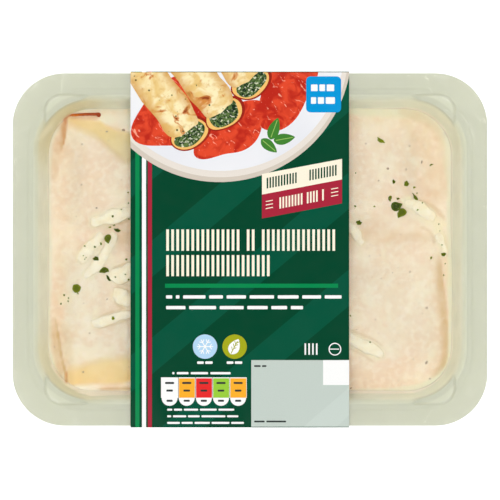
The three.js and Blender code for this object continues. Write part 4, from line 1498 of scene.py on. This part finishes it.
def band_fields():
    """Broad lighter bands that climb to the right, all round the sleeve."""
    period, width, slope, start = 38.2, 14.4, 0.84, 21.5
    lows = [start - period * k for k in range(-6, 7)]
    return inked("light green", [climbing(LEFT, RIGHT, low, low + width, slope, 0) for low in lows])


def stripe_fields():
    """Three thin stripes that run right round the sleeve."""
    width = 1.63
    stripes = [(-45.1, "bright green"), (-42.5, "white"), (-40.2, "crimson")]
    return [(key, rect(x, x + width, -PAST_ENDS, PAST_ENDS)) for x, key in stripes]


def banner_fields():
    """A banner of two colours that climbs to the right, with plain strokes and bars on it."""
    left, right, low, middle, high, slope = 4.7, 36.2, 12.2, 21.6, 29.7, 0.189
    spaces = {11, 12, 13, 14}
    fields = [("cream", climbing(left, right, middle, high, slope, left)),
              ("crimson", climbing(left, right, low, middle, slope, left))]
    fields += inked("green", strokes(left + 1.6, right - 1.2, 23.9, 28.1, 1.12, 0.62, spaces, slope))
    fields += inked("cream", strokes(left + 6.6, right - 6.4, 16.0, 20.4, 1.2, 0.66, {8, 13}, slope))
    for x in (left + 1.5, right - 4.3):
        fields += inked("cream", [climbing(x, x + 2.8, y, y + 0.35, slope, left) for y in (15.6, 17.0, 18.4)])
    return fields


def badge_fields():
    """A blue badge with two lines of bars."""
    fields = [("blue", pill(22.05, 35.85, 53.9, 68.1, 1.7))]
    for y, lengths in [(62.3, (2.6, 2.2, 2.9)), (57.3, (2.0, 2.4, 3.6))]:
        fields += inked("white", dashes(24.0, y, y + 2.6, lengths, 0.7))
    return fields


def title_fields():
    """Two rows of tall plain strokes, a rule, and two lines of bars."""
    left = -33.4
    fields = inked("cream", strokes(left, 34.8, -0.5, 7.9, 1.98, 1.05, {15, 18}))
    fields += inked("cream", strokes(left, 8.2, -10.5, -2.2, 1.98, 1.05))
    fields.append(("bright green", rect(left, 34.65, -15.05, -13.45)))
    for y, lengths in [(-19.3, (2.4, 1.4, 8.8, 5.4, 7.6, 9.6, 8.2, 7.4, 6.6)),
                       (-23.5, (7.6, 10.6, 9.4, 8.0, 6.2, 4.8))]:
        fields += inked("white", dashes(left + 0.4, y, y + 1.3, lengths, 1.45))
    return fields


def disc_fields():
    """Two round marks, a snowflake and a leaf, each over a pair of bars."""
    cold_x, leaf_x, y, lean = -17.7, -6.05, -38.2, 62
    fields = []
    for x, key in [(cold_x, "pale blue"), (leaf_x, "olive")]:
        fields.append((key, disc(x, y, 4.8, count=56)))
        fields += inked("white", dashes(x - 3.1, -45.0, -44.0, (2.6, 2.9), 0.6))
    fields += inked("white", snowflake(cold_x, y, 3.2))
    fields.append(("white", leaf_shape(leaf_x, y, 6.6, 4.2, lean)))
    fields.append(("olive", bar(leaf_x - 0.15, y - 0.3, 5.4, 0.35, lean)))
    for along in (-0.9, 0.5, 1.7):
        for side in (1, -1):
            middle = leaf_x - 0.05 + 0.47 * along + 0.55 * side, y + 0.15 + 0.88 * along
            fields.append(("olive", bar(*middle, 1.3, 0.28, lean - 42 * side)))
    return fields


def cell_fields():
    """A row of five coloured cells, each with three bars and a white scallop under it."""
    left, width, low, top = -35.0, 6.74, -58.4, -50.3
    cells = ["white", "amber", "red", "lime", "amber"]
    fields = [("white", rect(left, left + len(cells) * width, low, top))]
    for k, key in enumerate(cells):
        x = left + k * width
        middle = x + width / 2
        fields.append(("white", [(middle + (width / 2 - 0.25) * math.cos(a), low - 3.1 * math.sin(a))
                                 for a in np.linspace(0, math.pi, 15)]))
        fields.append((key, rect(x + 0.3, x + width - 0.15, low + 0.1, top - 0.35)))
        for y, across in ((top - 2.6, 3.6), (top - 5.6, 2.6), (low - 1.5, 2.4)):
            fields.append(("black", pill(middle - across / 2, middle + across / 2, y, y + 0.8, 0.3)))
        if k:
            fields.append(("black", rect(x, x + 0.18, low, top)))
    return fields


def label_fields():
    """The small print: bars round the cells, strokes for the weight with a ring, and the field for a date."""
    fields = inked("white", dashes(-30.6, -49.1, -48.2, (0.9, 4.6, 6.8, 8.0), 0.9)) + cell_fields()
    for y, lengths in [(-63.4, (2, 3.2, 5.6, 6.6, 6.2)), (-66.0, (1.6, 5.2, 4.6, 9.4, 4.4)),
                       (-68.6, (5, 4.4, 6, 7, 5))]:
        fields += inked("white", dashes(-32.6, y, y + 0.8, lengths, 0.7))
    fields += inked("white", strokes(21.0, 28.4, -41.4, -36.9, 1.5, 0.62))
    fields.append(("white", disc(33.4, -39.2, 2.5, count=36)))
    fields.append(("green", disc(33.4, -39.2, 2.1, count=36)))
    fields.append(("white", rect(31.2, 35.0, -39.35, -39.0)))
    fields.append(("field", rect(0.5, RIGHT, -PRINT_END, -43.5)))
    fields.append(("field band", [(21.0, -PRINT_END), (34.0, -PRINT_END), (RIGHT, -65.2), (RIGHT, -54.3)]))
    fields.append(("white", rect(28.75, RIGHT, -53.3, -43.5)))
    fields += inked("black", dashes(1.6, -46.2, -45.5, (2.6, 1.8), 0.5))
    return fields + inked("black", dashes(1.6, -68.0, -67.3, (4.2, 7.8), 0.6))


def print_fields(end):
    """The print on the flat blank, which runs from -end to end: later fields cover earlier ones."""
    fields = [("green", rect(LEFT, RIGHT, -end, end))] + band_fields() + stripe_fields() + picture_fields()
    return fields + banner_fields() + badge_fields() + title_fields() + disc_fields() + label_fields()


# ---------------------------------------------------------------- the sleeve's board

def filleted(corners, steps=6):
    """A polyline with each inner corner, given as (y, z, radius), rounded."""
    points = [np.array(corners[0][:2])]
    for before, here, after in zip(corners, corners[1:], corners[2:]):
        p, radius = np.array(here[:2]), here[2]
        a, b = np.array(before[:2]) - p, np.array(after[:2]) - p
        a, b = a / np.linalg.norm(a), b / np.linalg.norm(b)
        half_angle = math.acos(np.clip(a @ b, -1, 1)) / 2
        centre = p + (a + b) / np.linalg.norm(a + b) * radius / math.sin(half_angle)
        start, end = p + a * radius / math.tan(half_angle), p + b * radius / math.tan(half_angle)
        u, v = start - centre, end - centre
        turn = math.acos(np.clip(u @ v / radius**2, -1, 1))
        for t in np.linspace(0, 1, steps + 1):
            points.append(centre + (u * math.sin((1 - t) * turn) + v * math.sin(t * turn)) / math.sin(turn))
    points.append(np.array(corners[-1][:2]))
    return np.array(points)


def sleeve_section():
    """Half of the section across the pack, from the middle of the top to the middle of the bottom."""
    half, top = sleeve_high[1], sleeve_high[2]
    return filleted([(0, top, 0), (half, top, sleeve.top_fold), (half, sleeve.side_end, sleeve.side_fold),
                     (sleeve.foot, 0.0, sleeve.foot_fold), (sleeve.seam, 0.0, 0)])


def cut_blank(names, lengths):
    """The flat blank, cut into triangles along its print and its folds: its places, and for each triangle
    its corners and the number of its ink."""
    end = lengths[-1]
    points, outlines, keys = [], [], []
    for key, outline in print_fields(end):
        for axis, limit, keep_below in ((0, LEFT, False), (0, RIGHT, True), (1, -end, False), (1, end, True)):
            outline = clipped(outline, axis, limit, keep_below)
        if len(outline) < 3:
            continue
        area = sum(a[0] * b[1] - b[0] * a[1] for a, b in zip(outline, outline[1:] + outline[:1]))
        outlines.append(list(range(len(points), len(points) + len(outline))))
        points += [Vector(p) for p in (outline if area > 0 else outline[::-1])]
        keys.append(names.index(key))
    folds = []
    for s in sorted(set(np.round(np.concatenate([lengths, -lengths]), 5))):
        folds.append((len(points), len(points) + 1))
        points += [Vector((LEFT, s)), Vector((RIGHT, s))]
    inside_only, weld = 1, 1e-5
    found, _, triangles, _, _, owners = delaunay_2d_cdt(points, folds, outlines, inside_only, weld)
    kept = [(tuple(t), keys[max(o)]) for t, o in zip(triangles, owners) if o]
    return np.array([tuple(p) for p in found]), kept


def make_sleeve():
    """The printed blank folded round the pack, with bare board inside and at its edges."""
    section = sleeve_section()
    lengths = np.concatenate([[0], np.cumsum(np.linalg.norm(np.diff(section, axis=0), axis=1))])
    tangents = np.gradient(section, lengths, axis=0)
    normals = np.stack([-tangents[:, 1], tangents[:, 0]], axis=1)

    def folded(x, s, depth):
        """A place on the flat blank, folded round the pack."""
        side = np.where(s < 0, -1.0, 1.0)
        at = [np.interp(np.abs(s), lengths, column) for column in (*section.T, *normals.T)]
        size = np.hypot(at[2], at[3])
        return np.column_stack([x, side * (at[0] - depth * at[2] / size), at[1] - depth * at[3] / size])

    finishes = {key: ink("ink " + key, colour) for key, colour in inks.items()}
    finishes["plate"] = printed_plate()
    finishes["picture sauce"] = printed_sauce()
    finishes["filling"] = printed_filling()
    finishes["bake"] = printed_bake()
    finishes["bare board"] = board_finish()
    names = list(finishes)
    bare = names.index("bare board")
    flat, kept = cut_blank(names, lengths)
    count = len(flat)
    faces = [t[::-1] for t, _ in kept] + [tuple(i + count for i in t) for t, _ in kept]
    face_finish = [key for _, key in kept] + [bare] * len(kept)
    edges = {(t[i], t[(i + 1) % 3]) for t, _ in kept for i in range(3)}
    for a, b in sorted(edges):
        if (b, a) not in edges:
            faces.append((a, b, b + count, a + count))
            face_finish.append(bare)
    points = np.concatenate([folded(*flat.T, 0.0), folded(*flat.T, sleeve.board)])
    piece = mesh_piece("printed_sleeve", points, faces, list(finishes.values()), face_finish=face_finish,
                       sharp=40)
    joins_pack(piece, "board", "sleeve")


# ---------------------------------------------------------------- light, floor and camera

def make_floor():
    """A pale floor, a hair under the pack."""
    half, drop = 3.0, 0.2 * MM
    mesh = bpy.data.meshes.new("floor")
    mesh.from_pydata([(x, y, 0) for x, y in rect(-half, half, -half, half)], [], [(0, 1, 2, 3)])
    f = Finish("pale floor", Roughness=0.9, Emission_Color=(255, 255, 255), Emission_Strength=0.55,
               Specular_IOR_Level=0.1)
    mesh.materials.append(f.finished((238, 238, 238)))
    floor = in_scene("floor", mesh)
    floor.location.z = -drop


def make_sky():
    """An even dome with a bright ring high up. Inside the ring it is dark, where the film would mirror it."""
    scene = bpy.context.scene
    scene.world = bpy.data.worlds.new("studio")
    scene.world.use_nodes = True
    tree = scene.world.node_tree
    background = tree.nodes["Background"]
    toward = add(tree, "ShaderNodeSeparateXYZ", {0: add(tree, "ShaderNodeTexCoord").outputs["Generated"]})

    def by_height(low, high, below, above):
        """A strength that changes between two heights on a dome that is 1 high."""
        inputs = {"Value": toward.outputs["Z"], 1: low, 2: high, 3: below, 4: above}
        return add(tree, "ShaderNodeMapRange", inputs).outputs[0]

    ring, hole = by_height(0.945, 0.974, 0.42, 9.6), by_height(0.9885, 0.993, 1.0, 0.03)
    strength = add(tree, "ShaderNodeMath", {0: ring, 1: hole}, operation="MULTIPLY")
    background.inputs["Color"].default_value = (1, 1, 1, 1)
    tree.links.new(strength.outputs[0], background.inputs["Strength"])


def make_soft_boxes():
    """Two broad lights that face the pack from either side."""
    height, energy, aim = 1.0, 1.4, Vector((0, 0, 0.02))
    for name, x, y in [("left box", -0.5, 0.6), ("right box", 0.5, -0.6)]:
        light = bpy.data.lights.new(name, "AREA")
        light.shape = "RECTANGLE"
        light.size, light.size_y = 0.7, 0.9
        light.energy = energy
        lamp = in_scene(name, light)
        lamp.location = (x, y, height)
        lamp.rotation_euler = (aim - lamp.location).to_track_quat("-Z", "Y").to_euler()


def make_camera():
    """A view from straight overhead."""
    lens = bpy.data.cameras.new("camera")
    lens.sensor_width = SENSOR
    lens.lens = SENSOR * CAMERA_HEIGHT / SEEN_WIDTH
    camera = in_scene("camera", lens)
    camera.location = (0, VIEW_DROP * MM, (STAND + RIM + CAMERA_HEIGHT) * MM)
    bpy.context.scene.camera = camera
    bpy.context.scene.view_settings.view_transform = "Standard"


# ---------------------------------------------------------------- the pack

make_camera()
make_sky()
make_soft_boxes()
make_floor()

make_tray()
tomato_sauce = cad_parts["tomato_sauce"].data.materials
tomato_sauce.clear()
tomato_sauce.append(tomato_finish("tomato sauce", (150, 44, 22), (196, 84, 40)))
for name, roll in rolls.items():
    make_roll(name, roll)
make_bechamel()
strips = path_tree()
make_cheese(strips)
make_tomato_line(strips)
strewn = strewn_tree()
make_parsley(strewn)
make_specks(strewn)
make_film()
make_sleeve()
